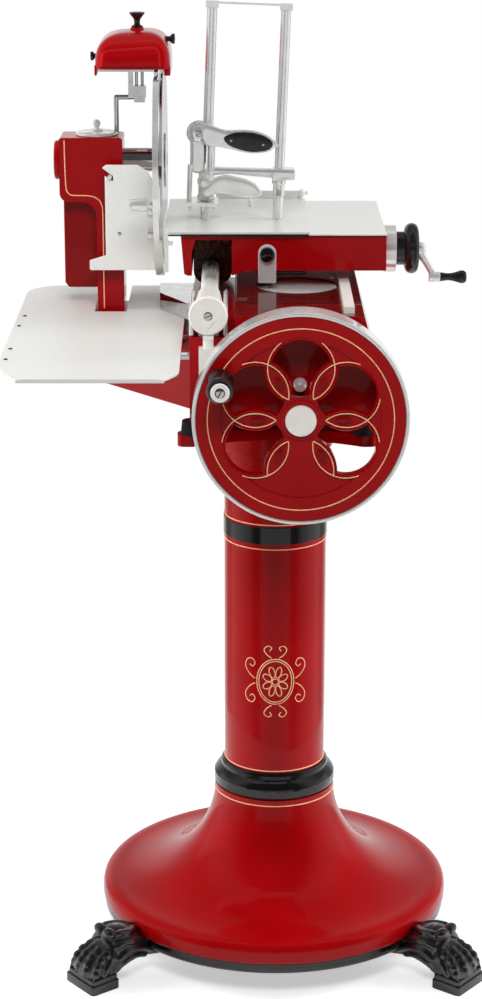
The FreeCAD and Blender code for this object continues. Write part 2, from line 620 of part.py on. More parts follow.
def casing():
    """Gooseneck casing: a leg on the base's wing and a head over it that holds the blade's shaft."""
    body = new_body("casing")
    curve = ("leg_left - leg_curve", "case_low - leg_curve")
    pad(body, "XZ", [
        ("leg_left", "wing_high"), ("leg_right", "wing_high"), ("leg_right", "case_top"),
        ("case_left", "case_top"),
        ("case_left", "case_low + case_round"),
        ("arc", "case_left + case_round", "case_low + case_round", "case_left + case_round", "case_low", 1),
        ("leg_left - leg_curve", "case_low"), ("arc", *curve, "leg_left", "case_low - leg_curve", -1),
    ], "case_front", "case_back")
    fillet(body, "5", lambda e: runs_along(e, Y) and e.CenterOfMass.z > size("case_top - 1"))
    wall = "case_wall"
    pocket(body, "XZ", [
        (f"leg_left + {wall}", "wing_high - 1"), (f"leg_right - {wall}", "wing_high - 1"),
        (f"leg_right - {wall}", f"case_top - {wall} * 2"), (f"leg_left + {wall}", f"case_top - {wall} * 2"),
    ], f"case_front + {wall}", f"case_back - {wall}")
    side = cylinder("blade_shaft_rad + 4", "200", ("case_left - 20", "blade_y", "blade_z"), "+X")
    side.Placement = FreeCAD.Placement(side.Placement.Base, TURNS["+X"])
    piece("casing", cut(body, side))
    rear = new_body("rear")
    pad(rear, "XZ", [("rear_left + 6", "rear_low"), ("leg_left - seam", "rear_low"),
                     ("leg_left - seam", "case_low - leg_curve"),
                     ("arc", *curve, "leg_left - leg_curve", "case_low - seam", 1),
                     ("rear_left", "case_low - seam"), ("rear_left", "rear_low + 8")],
        "case_front + 30", "rear_back")
    fillet(rear, "6", lambda e: runs_along(e, Y) and e.CenterOfMass.x < size("rear_left + 1")
           and e.CenterOfMass.z < size("rear_low + 9"))
    piece("casing_rear_cover", rear)
    # Bearing flanges at both walls of the casing's head.
    fit = "blade_shaft_rad + run_gap"
    outer = "blade_shaft_rad + 4"
    piece("bearing_housing", fuse(
        tube(outer, fit, wall, (f"leg_right - {wall}", "blade_y", "blade_z"), "+X"),
        tube("housing_rad", fit, "blade_face - ring_thick - 6 - leg_right",
             ("leg_right", "blade_y", "blade_z"), "+X"),
    ))
    piece("shaft_cap", turned("cap", [
        ("0", "0"), ("housing_rad + 11", "0"), ("housing_rad + 12", "2"), ("housing_rad + 12", "7"),
        ("housing_rad + 10", "9"), ("0", "11"),
    ], ("case_left", "blade_y", "blade_z"), "-X"))
    top = ("(case_left + leg_right) / 2 + 8", "blade_y", "case_top")
    piece("oil_cap", turned("oil_cap", [
        ("0", "0"), ("33", "0"), ("34", "2"), ("32", "5"), ("10", "6"), ("10", "9"), ("4", "10"),
        ("4", "13"), ("arc", "0", "18", "0", "24.4", 1),
    ], top))
    # Chain run inside the casing's leg.
    slack = "chain_thick - 2"
    low, high = "shaft_z", "blade_z"
    outer_run = fuse(
        cylinder(f"sprocket_low_rad + {slack}", slack, ("chain_x - 1.5", "blade_y", low), "+X"),
        cylinder(f"sprocket_high_rad + {slack}", slack, ("chain_x - 1.5", "blade_y", high), "+X"),
        chain_web(slack, "0"))
    inner_run = fuse(
        cylinder("sprocket_low_rad + seam", "10", ("chain_x - 5", "blade_y", low), "+X"),
        cylinder("sprocket_high_rad + seam", "10", ("chain_x - 5", "blade_y", high), "+X"),
        chain_web("seam", "4"))
    piece("drive_chain", cut(outer_run, inner_run))
    piece("upper_sprocket", tube("sprocket_high_rad", "blade_shaft_rad", "chain_thick",
                                 ("chain_x - chain_thick / 2", "blade_y", "blade_z"), "+X"))


def chain_web(grow, deep):
    """The flat web between the two pitch circles that the chain's straight runs bound."""
    body = new_body("run")
    low, high = f"sprocket_low_rad + {grow}", f"sprocket_high_rad + {grow}"
    pad(body, "YZ", [
        (f"blade_y - ({low})", "shaft_z"), (f"blade_y + {low}", "shaft_z"),
        (f"blade_y + {high}", "blade_z"), (f"blade_y - ({high})", "blade_z"),
    ], f"chain_x - 1.5 - {deep}", f"chain_x - 1.5 + chain_thick - 2 + {deep}")
    return body


def blade():
    face, back = "blade_face", "blade_face - blade_thick"
    spot = (back, "blade_y", "blade_z")
    # Flat towards the carriage, hollow ground behind, with a bevelled edge.
    disc = turned("blade", [
        ("blade_shaft_rad", "-5"), ("48", "-5"), ("50", "-1"), ("blade_rad - 22", "-1"),
        ("blade_rad - 20", "blade_thick - 2"), ("blade_rad", "blade_thick - 0.4"),
        ("blade_rad", "blade_thick"), ("blade_shaft_rad", "blade_thick"),
    ], spot, "+X")
    piece("blade", disc)
    start = "case_left + 2"
    clamp = turned("clamp", [
        ("0", "0"), ("44", "0"), ("43", "2"), ("12", "3.4"), ("12", "2.2"), ("0", "2.2"),
    ], (face, "blade_y", "blade_z"), "+X")
    piece("blade_shaft", fuse(cylinder("blade_shaft_rad", f"{face} - ({start})",
                                       (start, "blade_y", "blade_z"), "+X"), clamp))


def guard():
    """Ring round the blade's edge, with the bracket that ties it to the bearing housing."""
    back = "blade_face - ring_thick - blade_thick - 1"
    ring = tube("ring_outer", "ring_inner", "ring_thick", (back, "blade_y", "blade_z"), "+X")
    thin = tube("ring_outer", "ring_inner", "4", (f"{back} + ring_thick - 0.1", "blade_y", "blade_z"), "+X")
    # The food side of the ring is open where the blade cuts above the table.
    mouth = box((f"{back} + ring_thick", f"{back} + ring_thick + 6"),
                ("blade_y - ring_outer - 1", "blade_y + ring_outer + 1"),
                ("deck_z - 14", "blade_z + 150"))
    spokes = [box((back, f"{back} + 5"), ("blade_y - ring_inner - 3", "blade_y + ring_inner + 3"),
                  ("blade_z - 11", "blade_z + 11"))]
    boss = cylinder("housing_rad + 8", "5", (back, "blade_y", "blade_z"), "+X")
    bore = cylinder("housing_rad", "20", (f"{back} - 4", "blade_y", "blade_z"), "+X")
    seat = box(("leg_right", f"{back} + 3"), ("blade_y - 26", "blade_y + 26"),
               ("blade_z - ring_outer + 10", "blade_z - ring_outer + 22"))
    gap_top = box((f"{back} - 1", f"{back} + ring_thick + 6"),
                  ("blade_y - ring_outer - 1", "blade_y + ring_outer + 1"),
                  (f"{HOOD_LOW} - 2", "blade_z + ring_outer + 2"))
    piece("guard_ring", cut(fuse(ring, cut(thin, mouth), *spokes, boss, seat), bore, gap_top))
    # Clamp knob that holds the guard, on the ring's front edge.
    z = "blade_z - 45"
    y = "blade_y - ring_outer + 22"
    piece("guard_knob", fuse(
        cone("12", "9", "24", (f"{back} - 12", y, z), "-X"),
        cylinder("8", "5", (f"{back} - 12", y, z), "+X"),
        cylinder("12", "7", (f"{back} - 7", y, z), "+X"),
    ))


def deflector():
    """Slice deflector: a flat hooked plate in front of the casing's leg, on two stand-offs."""
    near, far = "case_front - 30", "case_front - 28"
    body = new_body("deflector")
    left, right = "leg_left + 16", "blade_face - ring_thick - 6"
    top, low = "case_low + 64", "rear_low + 40"
    pad(body, "XZ", [
        (f"{left}", f"{low} + 24"), (f"{left} - 26", f"{low} + 16"), (f"{left} - 26", f"{low}"),
        (right, f"{low}"), (right, f"{top} - 30"), (f"{right} - 10", f"{top} - 10"),
        (f"{right} - 26", top), (f"{left} + 2", top), (f"{left} - 4", f"{top} - 5"),
        (f"{left} + 13", f"{top} - 18"), (f"{left} + 13", f"{top} - 26"),
        (f"{left} + 5", f"{top} - 22"), (left, f"{top} - 17"),
    ], near, far)
    fillet(body, "3", lambda e: runs_along(e, Y) and e.CenterOfMass.z < size("rear_low + 60"))
    hole = cylinder("3.2", "10", ("leg_left + 38", f"{near} - 4", f"{top} - 110"), "+Y")
    piece("deflector_plate", cut(body, hole))
    posts = []
    for z in (f"{top} - 60", f"{low} + 30"):
        posts.append(cylinder("5", f"case_front - ({far})", ("leg_right - 12", far, z), "+Y"))
    hook_pin = cylinder("3.4", f"case_front - ({near}) + 6", (f"{left} + 8", f"{near} - 6", f"{top} - 19"), "+Y")
    piece("deflector_posts", group(*posts, hook_pin))


def sharpener():
    """Two-stone sharpener under a domed hood, on a bracket from the guard ring's top."""
    mid_x = "(hood_left + hood_right) / 2"
    near, far = "blade_y - hood_deep / 2", "blade_y + hood_deep / 2"
    hood = new_body("hood")
    pad(hood, "XZ", [
        ("hood_left", HOOD_LOW), ("hood_right", HOOD_LOW), ("hood_right", f"{HOOD_LOW} + hood_tall * 0.6"),
        ("hood_right - 21", f"{HOOD_TOP} - 1"), ("hood_left + 43", HOOD_TOP), ("hood_left + 22", f"{HOOD_TOP} - 5"),
        ("hood_left + 9", f"{HOOD_TOP} - 13"), ("hood_left", f"{HOOD_TOP} - 34"),
    ], near, far)
    fillet(hood, "hood_round", lambda e: runs_along(e, Y) and e.CenterOfMass.z > size(f"{HOOD_LOW} + 2"))
    wall = "hood_wall"
    inside = box((f"hood_left + {wall} + 1", f"hood_right - {wall}"), (f"{near} + {wall}", f"{far} - {wall}"),
                 (f"{HOOD_LOW} - 1", f"{HOOD_TOP} - 24"))
    # The front and back walls stop higher than the side walls, and a slit lets the blade through.
    arch = box(("hood_left + 6", "hood_right - 13"), (f"{near} - 1", f"{far} + 1"),
               (f"{HOOD_LOW} - 1", f"{HOOD_LOW} + hood_lift"))
    slit = box(("blade_face - blade_thick - 2", "blade_face + 2"), (f"{near} - 1", f"{far} + 1"),
               (f"{HOOD_LOW} - 1", f"{HOOD_LOW} + hood_lift"))
    knob_spot = ("hood_left + 64", "blade_y", HOOD_TOP)
    boss = turned("boss", [("0", "-3"), ("12", "-3"), ("11", "5"), ("0", "5")], knob_spot)
    piece("sharpener_hood", fuse(cut(hood, inside, arch, slit), boss))
    piece("stone_knob_top", turned("knob_top", [
        ("0", "5"), ("6", "5"), ("6", "11"), ("4.5", "17"), ("11.5", "24"), ("12", "27"), ("0", "28"),
    ], knob_spot))
    right = turned("knob_right", [
        ("0", "0"), ("4", "0"), ("4", "10"), ("8", "14"), ("8", "18"), ("0", "19"),
    ], ("hood_right - 12", "blade_y", f"{HOOD_TOP} - 13"), "+X")
    left = turned("knob_left", [
        ("0", "0"), ("4", "0"), ("4", "3"), ("7", "5"), ("7", "9"), ("0", "9.6"),
    ], ("hood_left", "blade_y", f"{HOOD_TOP} - 40"), "-X")
    piece("side_knobs", group(cut(right, hood), left))
    deck = f"{HOOD_LOW} + 1"
    post_x = "hood_left + 50"
    ring_back = "blade_face - ring_thick - blade_thick - 1"
    bridge = box(("hood_left + 5", f"{ring_back} + 6"), ("blade_y - 16", "blade_y + 16"),
                 (deck, f"{deck} + 6"))
    beam = box((ring_back, f"{ring_back} + 6"), (f"{near} + {wall} + 1", f"{far} - {wall} - 1"),
               (f"{HOOD_LOW} - 2", f"{deck} + 6"))
    toes = box((ring_back, f"{ring_back} + 6"), ("blade_y - 116", "blade_y + 116"),
               (f"{HOOD_LOW} - 2", f"{HOOD_LOW} - 0.3"))
    drop = box((post_x, f"{post_x} + 8"), ("blade_y - 8", "blade_y + 8"), (f"{deck} - 41", deck))
    stone_z = f"{HOOD_LOW} + 26"
    spindle = cylinder("4", "30", ("hood_right - 64", "blade_y", stone_z), "+X")
    yoke = box(("hood_right - 66", "hood_right - 64"), ("blade_y - 8", "blade_y + 8"),
               (f"{deck} + 5", f"{stone_z} + 8"))
    piece("sharpener_bracket", fuse(bridge, beam, toes, drop, yoke, spindle))
    low = "case_top"
    arm_x = "leg_right - 12"
    turn = f"{deck} - 45"
    pins = [cylinder("2.6", "24", (f"{post_x} + {dx}", "blade_y", f"{deck} - 24")) for dx in (13, 22)]
    piece("sharpener_arm", fuse(
        cylinder("arm_rad", f"{turn} - ({low})", (arm_x, "blade_y + 26", low)),
        sphere("arm_rad", (arm_x, "blade_y + 26", turn)),
        cylinder("arm_rad", f"{post_x} + 20 - ({arm_x})", (arm_x, "blade_y + 26", turn), "+X"),
        box((f"{post_x} + 9", f"{post_x} + 26"), ("blade_y - 8", "blade_y + 31"),
            (f"{turn} - 4", f"{deck} - 41")),
        box((f"{post_x} + 8", f"{post_x} + 28"), ("blade_y - 9", "blade_y + 9"),
            (f"{deck} - 41", f"{deck} - 23")),
        *pins,
    ))
    stones = [tube("13", "4", "7", (f"hood_right - 40 + {dx}", "blade_y", stone_z), "+X")
              for dx in (-16, -4)]
    piece("grinding_stones", group(*stones))


casing()
blade()
guard()
deflector()
sharpener()


# ---------------------------------------------------------------- slide rod and carriage

RUNNER_X = "deck_left + cheek_wide + tunnel_wide + body_wall + 2"
ROLLER_Y = "(deck_front + deck_back) / 2"
ROLLER_Z = "base_top + rail_thick + roller_rad"


def slide_rod():
    spot = ("rod_x", "rod_front", "rod_z")
    piece("slide_rod", fuse(
        cylinder("rod_rad", "rod_back - rod_front", spot, "+Y"),
        turned("cap", [("0", "0"), ("27", "0"), ("29", "2"), ("29", "10"), ("27", "12"), ("0", "12")],
               ("rod_x", "rod_front + 1", "rod_z"), "-Y"),
    ))
    # Front pedestal of the rod: a tapered sleeve on a saddle, with a foot on the base's front wall.
    sleeve = cone("25", "18", "130", ("rod_x", "rod_front + 1", "rod_z"), "+Y")
    foot = box(("rod_x - 14", "rod_x + 14"), ("base_front - 18", "base_front"), ("rod_z - 92", "rod_z - 48"))
    neck = cylinder("8", "shelf_top - (rod_z - 50)", ("rod_x", "base_front - 9", "rod_z - 50"))
    web = box(("rod_x - 8", "rod_x + 8"), ("base_front - 17", "base_front + 30"),
              ("shelf_top", "shelf_top + 5.5"))
    saddle = box(("rod_x - 15", "rod_x + 15"), ("base_front + 10", "base_front + 120"),
                 ("shelf_top", "rod_z"))
    bore = cylinder("rod_rad", "rod_back - rod_front", spot, "+Y")
    rear = box(("rod_x - 22", "rod_x + 22"), ("rod_back - 18", "rod_back"), ("shelf_top - 40", "rod_z + 22"))
    beam = box(("rod_x - 14", "rod_x + 14"), ("base_back", "rod_back"), ("shelf_top - 40", "shelf_top - 6"))
    rail = box(("rail_left", "rail_right"), ("base_front + 20", "base_back - 4"),
               ("base_top", "base_top + rail_thick"))
    piece("rod_supports", group(cut(fuse(sleeve, neck, web, foot, saddle, rear, beam), bore), rail))


def carriage():
    """Red carriage body: a shallow box with a tunnel for the rod's front pedestal."""
    body = new_body("carriage")
    tunnel_left = "deck_left + cheek_wide"
    tunnel_right = "deck_left + cheek_wide + tunnel_wide"
    near, far = "deck_front + 6", "deck_back - 4"
    pad(body, "XZ", [
        ("deck_left", "deck_z"), ("deck_left + 5", "body_low - 5"), ("deck_left + 10", "body_low - 8"),
        (tunnel_left, "body_low - 8"), (f"{tunnel_left}", "body_low + 28"),
        (f"{tunnel_left} + 6", "deck_z - body_wall"), (tunnel_right, "deck_z - body_wall"),
        (tunnel_right, "body_low - 8"), (f"{tunnel_right} + 24", "body_low"),
        ("deck_right", "body_low"), ("deck_right", "deck_z"),
    ], near, far)
    pocket(body, "XY", rect(f"{tunnel_right} + body_wall", f"{near} + body_wall",
                            "deck_right - body_wall", f"{far} - body_wall"),
           "body_low - 9", "deck_z - body_wall")
    slot = runner_slot("deck_z - body_wall - 1", "deck_z + deck_thick + 1")
    inner_bore = cylinder("screw_rad + run_gap", "body_wall + 4", (f"{tunnel_right} - 2", "screw_y", "screw_z"), "+X")
    screw_bore = cylinder("screw_rad + 1", "80", ("deck_right - 20", "screw_y", "screw_z"), "+X")
    hangers = []
    bores = []
    for start in ("bush_front", "bush_rear"):
        hangers.append(box((tunnel_left, tunnel_right), (start, f"{start} + bush_long"),
                           ("rod_z - rod_rad - 12", "deck_z - 2")))
        bores.append(cylinder("rod_rad + 6", "bush_long + 4", ("rod_x", f"{start} - 2", "rod_z"), "+Y"))
    fork = box(("rail_left - 9", "rail_left - 1"), (f"{ROLLER_Y} - 9", f"{ROLLER_Y} + 9"),
               (f"{ROLLER_Z} - 8", "deck_z - body_wall"))
    axle = cylinder("4", "rail_right - rail_left + 4", ("rail_left - 2", ROLLER_Y, ROLLER_Z), "+X")
    piece("carriage_body", cut(fuse(body, *hangers, fork, axle), slot, inner_bore, screw_bore, *bores))
    bushes = [tube("rod_rad + 6", "rod_rad + run_gap", "bush_long", ("rod_x", start, "rod_z"), "+Y")
              for start in ("bush_front", "bush_rear")]
    piece("carriage_bushes", group(*bushes))
    deck = box(("deck_left + 6", "deck_right"), ("deck_front", "deck_back"), ("deck_z", "deck_z + deck_thick"))
    slot = runner_slot("deck_z - body_wall - 1", "deck_z + deck_thick + 1")
    piece("carriage_deck", cut(deck, slot))


def runner_slot(low, high):
    """The slot that the table's runner travels in, covered by the table at rest."""
    return box((f"{RUNNER_X} - 2", f"{RUNNER_X} + runner_wide + feed_travel + 2"),
               ("screw_y - 14", "screw_y + 14"), (low, high))


def roller():
    """Guide roller on the carriage's right side, which runs on the rail."""
    piece("guide_roller", tube("roller_rad", "4 + run_gap", "rail_right - rail_left",
                               ("rail_left", ROLLER_Y, ROLLER_Z), "+X"))


def table():
    low = "deck_z + deck_thick + table_gap"
    plate = box(("table_left", "table_right"), ("deck_front - 1", "deck_back + 1"),
                (low, f"{low} + plate_thick"))
    guide = box(("table_left", "table_left + 6"), ("deck_front - 7", "deck_front - 0.5"),
                ("body_low", f"{low} + plate_thick"))
    hook = box(("table_left + 5", "table_left + 13"), ("deck_front - 7", "deck_front - 0.5"),
               ("deck_z - 14", "deck_z - 8"))
    top = f"{low} + plate_thick"
    fence = box(("post_left + 16", "table_right - 4"), ("deck_back - 3", "deck_back - 1"), (top, f"{top} + fence_high"))
    stop = fuse(cylinder("3", "12", ("table_right - 6", "deck_back - 12", top)),
                cylinder("3", "10", ("table_right - 6", "deck_back - 12", f"{top} + 12"), "+X"),
                sphere("6", ("table_right - 6", "deck_back - 12", f"{top} + 12")))
    runner = box((RUNNER_X, f"{RUNNER_X} + runner_wide"), ("screw_y - 12", "screw_y + 12"),
                 ("screw_z - 12", low))
    bore = cylinder("screw_rad + run_gap", "runner_wide + 4", (f"{RUNNER_X} - 2", "screw_y", "screw_z"), "+X")
    piece("meat_table", cut(fuse(plate, guide, hook, fence, stop, runner), bore))


def feed():
    """Feed screw with its scale drum, hand dial and crank."""
    start = "deck_left + cheek_wide + tunnel_wide"
    axis = ("screw_y", "screw_z")
    drum_x = "deck_right"
    piece("feed_screw", cylinder("screw_rad", f"deck_right + 62 - ({start})", (start, *axis), "+X"))
    piece("scale_drum", tube("scale_rad", "screw_rad + run_gap", "19", (drum_x, *axis), "+X"))
    dial_x = "deck_right + 19.3"
    neck = tube("scale_rad - 11", "screw_rad", "14", (dial_x, *axis), "+X")
    wheel = turned("dial", [
        ("screw_rad", "10"), ("dial_rad - 6", "10"), ("dial_rad", "15"), ("dial_rad", "24"),
        ("dial_rad - 6", "30"), ("screw_rad", "30"),
    ], (dial_x, *axis), "+X")
    piece("dial_wheel", fuse(neck, wheel))
    arm_x = "deck_right + 50"
    drop, reach = "46", "22"
    hub = tube("9", "screw_rad", "11", (arm_x, *axis), "+X")
    web = new_body("web")
    pad(web, "XZ", [
        (f"{arm_x} + 1", "screw_z - 7"), (f"{arm_x} + 10", "screw_z - 7"),
        (f"{arm_x} + {reach} + 14", f"screw_z - {drop} + 4"), (f"{arm_x} + {reach} + 4", f"screw_z - {drop} - 2"),
    ], "screw_y - 4", "screw_y + 4")
    boss = cylinder("7.5", "18", (f"{arm_x} + {reach}", "screw_y", f"screw_z - {drop}"), "+X")
    pin = cylinder("3.5", "47", (f"{arm_x} + {reach} + 16", "screw_y", f"screw_z - {drop}"), "+X")
    piece("feed_crank", fuse(hub, web, boss, pin))
    piece("feed_grip", turned("grip", [
        ("3.5 + run_gap", "0"), ("7", "0"), ("6", "8"), ("7.5", "20"), ("10", "32"), ("9", "38"),
        ("5", "42"), ("3.5 + run_gap", "42"),
    ], (f"{arm_x} + {reach} + 18.3", "screw_y", f"screw_z - {drop}"), "+X"))
    # Release latch on the carriage's front.
    x = "latch_x"
    strip = box((f"{x} - 14", f"{x} + 14"), ("deck_front + 3", "deck_front + 6"),
                ("body_low - 19", "body_low + 28"))
    crown = cylinder("14", "3", (x, "deck_front + 3", "body_low + 28"), "+Y")
    lip = box((f"{x} - 14", f"{x} + 14"), ("deck_front + 3", "deck_front + 16"), ("body_low - 19", "body_low - 16"))
    hole = cylinder("5 + run_gap", "20", (x, "deck_front - 4", "body_low + 26"), "+Y")
    piece("latch_plate", cut(fuse(strip, crown, lip), hole))
    piece("latch_knob", fuse(
        turned("knob", [("0", "0"), ("11", "0"), ("12", "4"), ("9", "9"), ("0", "11")],
               (x, "deck_front + 2.7", "body_low + 26"), "-Y"),
        cylinder("5", "3", (x, "deck_front + 2.5", "body_low + 26"), "+Y"),
    ))


slide_rod()
carriage()
roller()
table()
feed()


# ---------------------------------------------------------------- meat press and tray

def press():
    """Two posts and a clamp that slides on them; the whole press leans a little to the right."""
    table = "deck_z + deck_thick + table_gap + plate_thick"
    drop = "(post_right - post_left) * tan(press_lean * 1 deg)"
    left_foot = f"{table} + post_rad * sin(press_lean * 1 deg)"
    right_foot = f"{left_foot} + {drop}"
    y = "post_y"
    bar = box(("post_left - 9", "post_right + 9"), (f"{y} - 5", f"{y} + 5"), ("post_top + 2", "post_top + 5"))
    ends = [box((f"{x} - 10", f"{x} + 10"), (f"{y} - 9", f"{y} + 9"), ("post_top - 4", "post_top + 6"))
            for x in ("post_left", "post_right")]
    posts = [cylinder("post_rad", f"post_top - ({foot})", (x, y, foot))
             for x, foot in (("post_left", left_foot), ("post_right", right_foot))]
    piece("press_frame", fuse(bar, *ends, *posts), leans=True)
    bores = [cylinder("post_rad + run_gap", "400", (x, y, table)) for x in ("post_left", "post_right")]
    head_x, head_z = "post_left - 6", "press_high - 12"
    sleeve = cylinder("15", "press_high - 10 - press_low", ("post_left", y, "press_low - 6"))
    head = cylinder("23", "26", (head_x, f"{y} - 13", head_z), "+Y")
    rib = box(("post_left - 26", "post_left - 8"), (f"{y} - 7", f"{y} + 7"), ("press_low + 12", head_z))
    beam = box(("post_left", "post_right - 8"), (f"{y} - 8", f"{y} + 8"), ("press_low + 26", "press_low + 38"))
    block = box(("post_right - 12", "post_right + 25"), (f"{y} - 13", f"{y} + 13"),
                ("press_low + 18", "press_low + 40"))
    collar = cylinder("11", "20", ("post_right", y, "press_low"))
    trunnions = [cylinder("5", "18", (head_x, f"{y} - 30", head_z), "+Y"),
                 cylinder("5", "20", ("post_left + 2", f"{y} - 34", "press_low + 16"), "+Y")]
    piece("press_body", cut(fuse(sleeve, head, rib, beam, block, collar, *trunnions), *bores), leans=True)
    lever_y = (f"{y} - 26", f"{y} - 17")
    lever = new_body("lever")
    tip = "post_right - 3"
    pad(lever, "XZ", [
        (f"{head_x} - 4", f"{head_z} + 13"), (f"{head_x} - 12", head_z), (f"{head_x} - 2", f"{head_z} - 13"),
        (f"{head_x} + 34", f"{head_z} - 22"), (f"{head_x} + 86", f"{head_z} - 28"), (tip, f"{head_z} - 14"),
        (f"{head_x} + 100", f"{head_z} + 2"), (f"{head_x} + 70", f"{head_z} + 9"), (f"{head_x} + 34", f"{head_z} + 8"),
    ], *lever_y)
    fillet(lever, "6", lambda e: runs_along(e, Y))
    piece("press_lever", cut(lever, cylinder("5 + run_gap", "60", (head_x, f"{y} - 40", head_z), "+Y")),
          leans=True)
    scales = []
    for low, high in ((f"{y} - 29", f"{y} - 26"), (f"{y} - 17", f"{y} - 14.4")):
        scale = new_body("scale")
        pad(scale, "XZ", [
            (f"{head_x} + 38", f"{head_z} - 9"), (f"{head_x} + 52", f"{head_z} - 19"),
            (f"{head_x} + 88", f"{head_z} - 23"), (f"{head_x} + 112", f"{head_z} - 13"),
            (f"{head_x} + 94", f"{head_z} - 1"), (f"{head_x} + 56", f"{head_z} + 3"),
        ], low, high)
        scales.append(scale)
    piece("lever_grips", group(*scales), leans=True)
    leaf = new_body("leaf")
    x, z = "post_left + 2", "press_low + 16"
    pad(leaf, "XZ", [
        (f"{x} - 10", z), (x, f"{z} - 10"), (f"{x} + 30", f"{z} + 2"), (f"{x} + 60", f"{z} - 6"),
        (f"{x} + 82", f"{z} - 10"), (f"{x} + 92", z), (f"{x} + 76", f"{z} + 14"), (f"{x} + 44", f"{z} + 22"),
        (f"{x} + 16", f"{z} + 16"),
    ], f"{y} - 34", f"{y} - 17")
    fillet(leaf, "5", lambda e: runs_along(e, Y))
    leaf_pin = cylinder("4", "20", (f"{x} + 76", f"{y} - 26", f"{z} - 27"))
    piece("leaf_lever", cut(fuse(leaf, leaf_pin), cylinder("5 + run_gap", "60", (x, f"{y} - 45", z), "+Y")),
          leans=True)
    foot_low = "press_low - 12"
    plate = box(("post_left - 30", "post_left + 20"), (f"{y} - 30", f"{y} + 30"), (foot_low, f"{foot_low} + 6"))
    spikes = [cone("1", "3", "9", (f"post_left + {dx}", f"{y} + {dy}", f"{foot_low} - 8.8"))
              for dx in (-24, -4, 14) for dy in (-24, 0, 24) if (dx, dy) != (-4, 0)]
    stem = cylinder("4", "62", ("post_left - 26", f"{y} - 14", "foot_stem_low"))
    piece("press_foot", cut(fuse(plate, *spikes, stem), *bores), leans=True)


def tray():
    low, high = "tray_z", "tray_z + tray_thick"
    slot_left, slot_right = "leg_left - 4", "leg_right + 4"
    body = new_body("tray")
    pad(body, "XY", [
        ("tray_right - 18", "tray_front"), ("tray_right", "tray_front + 34"), ("tray_right", "tray_back"), (slot_right, "tray_back"),
        (slot_right, "tray_notch"), (slot_left, "tray_notch"), (slot_left, "tray_back"),
        ("tray_left + 60", "tray_back"), ("arc", "tray_left + 60", "tray_back - 60", "tray_left", "tray_back - 60", 1),
        ("tray_left", "tray_front + 84"), ("tray_left + 30", "tray_front"),
    ], low, high)
    lip = box(("tray_left + 34", "tray_right - 20"), ("tray_front", "tray_front + 2"), (f"{low} - tray_lip", low))
    piece("slice_tray", fuse(body, lip))
    arms = []
    for y in ("base_front + 14", "-40"):
        arms.append(box(("base_left - 70", "base_left"), (y, f"{y} + 18"), (f"{low} - 7", low)))
    # Polished guide bar over the tray, bolted to the base's left wall.
    guide = new_body("guide")
    pad(guide, "XY", [
        ("base_left - 54", "140"), ("base_left - 7", "48"), ("base_left", "48"), ("base_left", "213"),
        ("base_left - 56", "213"),
    ], f"{high} + 1", "shelf_top")
    piece("tray_brackets", group(*arms, guide))


press()
tray()


# ---------------------------------------------------------------- writing

def check():
    for obj in doc.Objects:
        if "Invalid" in obj.State or "Error" in obj.State:
            raise RuntimeError(f"{obj.Label} ({obj.Name}) failed: {obj.State}")
    for label, obj in pieces.items():
        shape = obj.Shape
        if shape.isNull() or not shape.isValid() or not shape.Solids:
            raise RuntimeError(f"{label} has no valid solid")


def write():
    os.makedirs("parts", exist_ok=True)
    whole = FreeCAD.BoundBox()
    for label, obj in pieces.items():
        obj.Shape.exportStep(f"parts/{label}.step")
        whole.add(obj.Shape.BoundBox)
    print(len(pieces), "sub-parts; box", whole)


doc.recompute()
check()
write()
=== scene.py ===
import json
import math

import bmesh
import bpy
from mathutils import Matrix, Vector


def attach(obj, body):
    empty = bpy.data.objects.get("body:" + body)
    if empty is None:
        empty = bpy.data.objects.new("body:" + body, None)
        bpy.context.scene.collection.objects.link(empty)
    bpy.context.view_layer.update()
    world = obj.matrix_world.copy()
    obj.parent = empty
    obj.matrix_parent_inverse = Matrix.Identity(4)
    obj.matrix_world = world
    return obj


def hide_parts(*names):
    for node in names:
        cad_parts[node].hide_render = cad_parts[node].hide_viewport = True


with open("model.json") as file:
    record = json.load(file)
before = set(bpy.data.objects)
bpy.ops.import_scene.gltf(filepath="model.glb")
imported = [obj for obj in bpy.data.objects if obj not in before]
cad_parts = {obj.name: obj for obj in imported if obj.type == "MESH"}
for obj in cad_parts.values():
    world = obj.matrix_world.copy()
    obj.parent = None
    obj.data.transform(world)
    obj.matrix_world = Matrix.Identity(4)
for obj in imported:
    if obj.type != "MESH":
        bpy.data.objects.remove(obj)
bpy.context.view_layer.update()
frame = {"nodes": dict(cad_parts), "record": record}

MM = 0.001
COLUMN = Vector((39, -46, 0))     # the column's axis in the frame, in millimetres
X, Y, Z = Vector((1, 0, 0)), Vector((0, 1, 0)), Vector((0, 0, 1))


def at(x, y, z):
    """A place given in millimetres from the column's foot, in the frame's metres."""
    return (Vector((x, y, z)) + COLUMN) * MM


# ---------------------------------------------------------------- materials

def linear(code):
    """The linear colour of an sRGB hex value."""
    parts = [int(code[i:i + 2], 16) / 255 for i in (1, 3, 5)]
    return [p / 12.92 if p <= 0.04045 else ((p + 0.055) / 1.055) ** 2.4 for p in parts] + [1.0]


def add(tree, kind, inputs=None, stops=(), **settings):
    """Adds a node; an input is a value or another node's output, and a stop is (place, colour)."""
    node = tree.nodes.new(kind)
    for name, value in settings.items():
        setattr(node, name, value)
    for name, value in (inputs or {}).items():
        if isinstance(value, bpy.types.NodeSocket):
            tree.links.new(value, node.inputs[name])
        else:
            node.inputs[name].default_value = value
    if stops:
        points = node.color_ramp.elements
        points.remove(points[1])
        points[0].position, points[0].color = stops[0]
        for place, colour in stops[1:]:
            points.new(place).color = colour
    return node


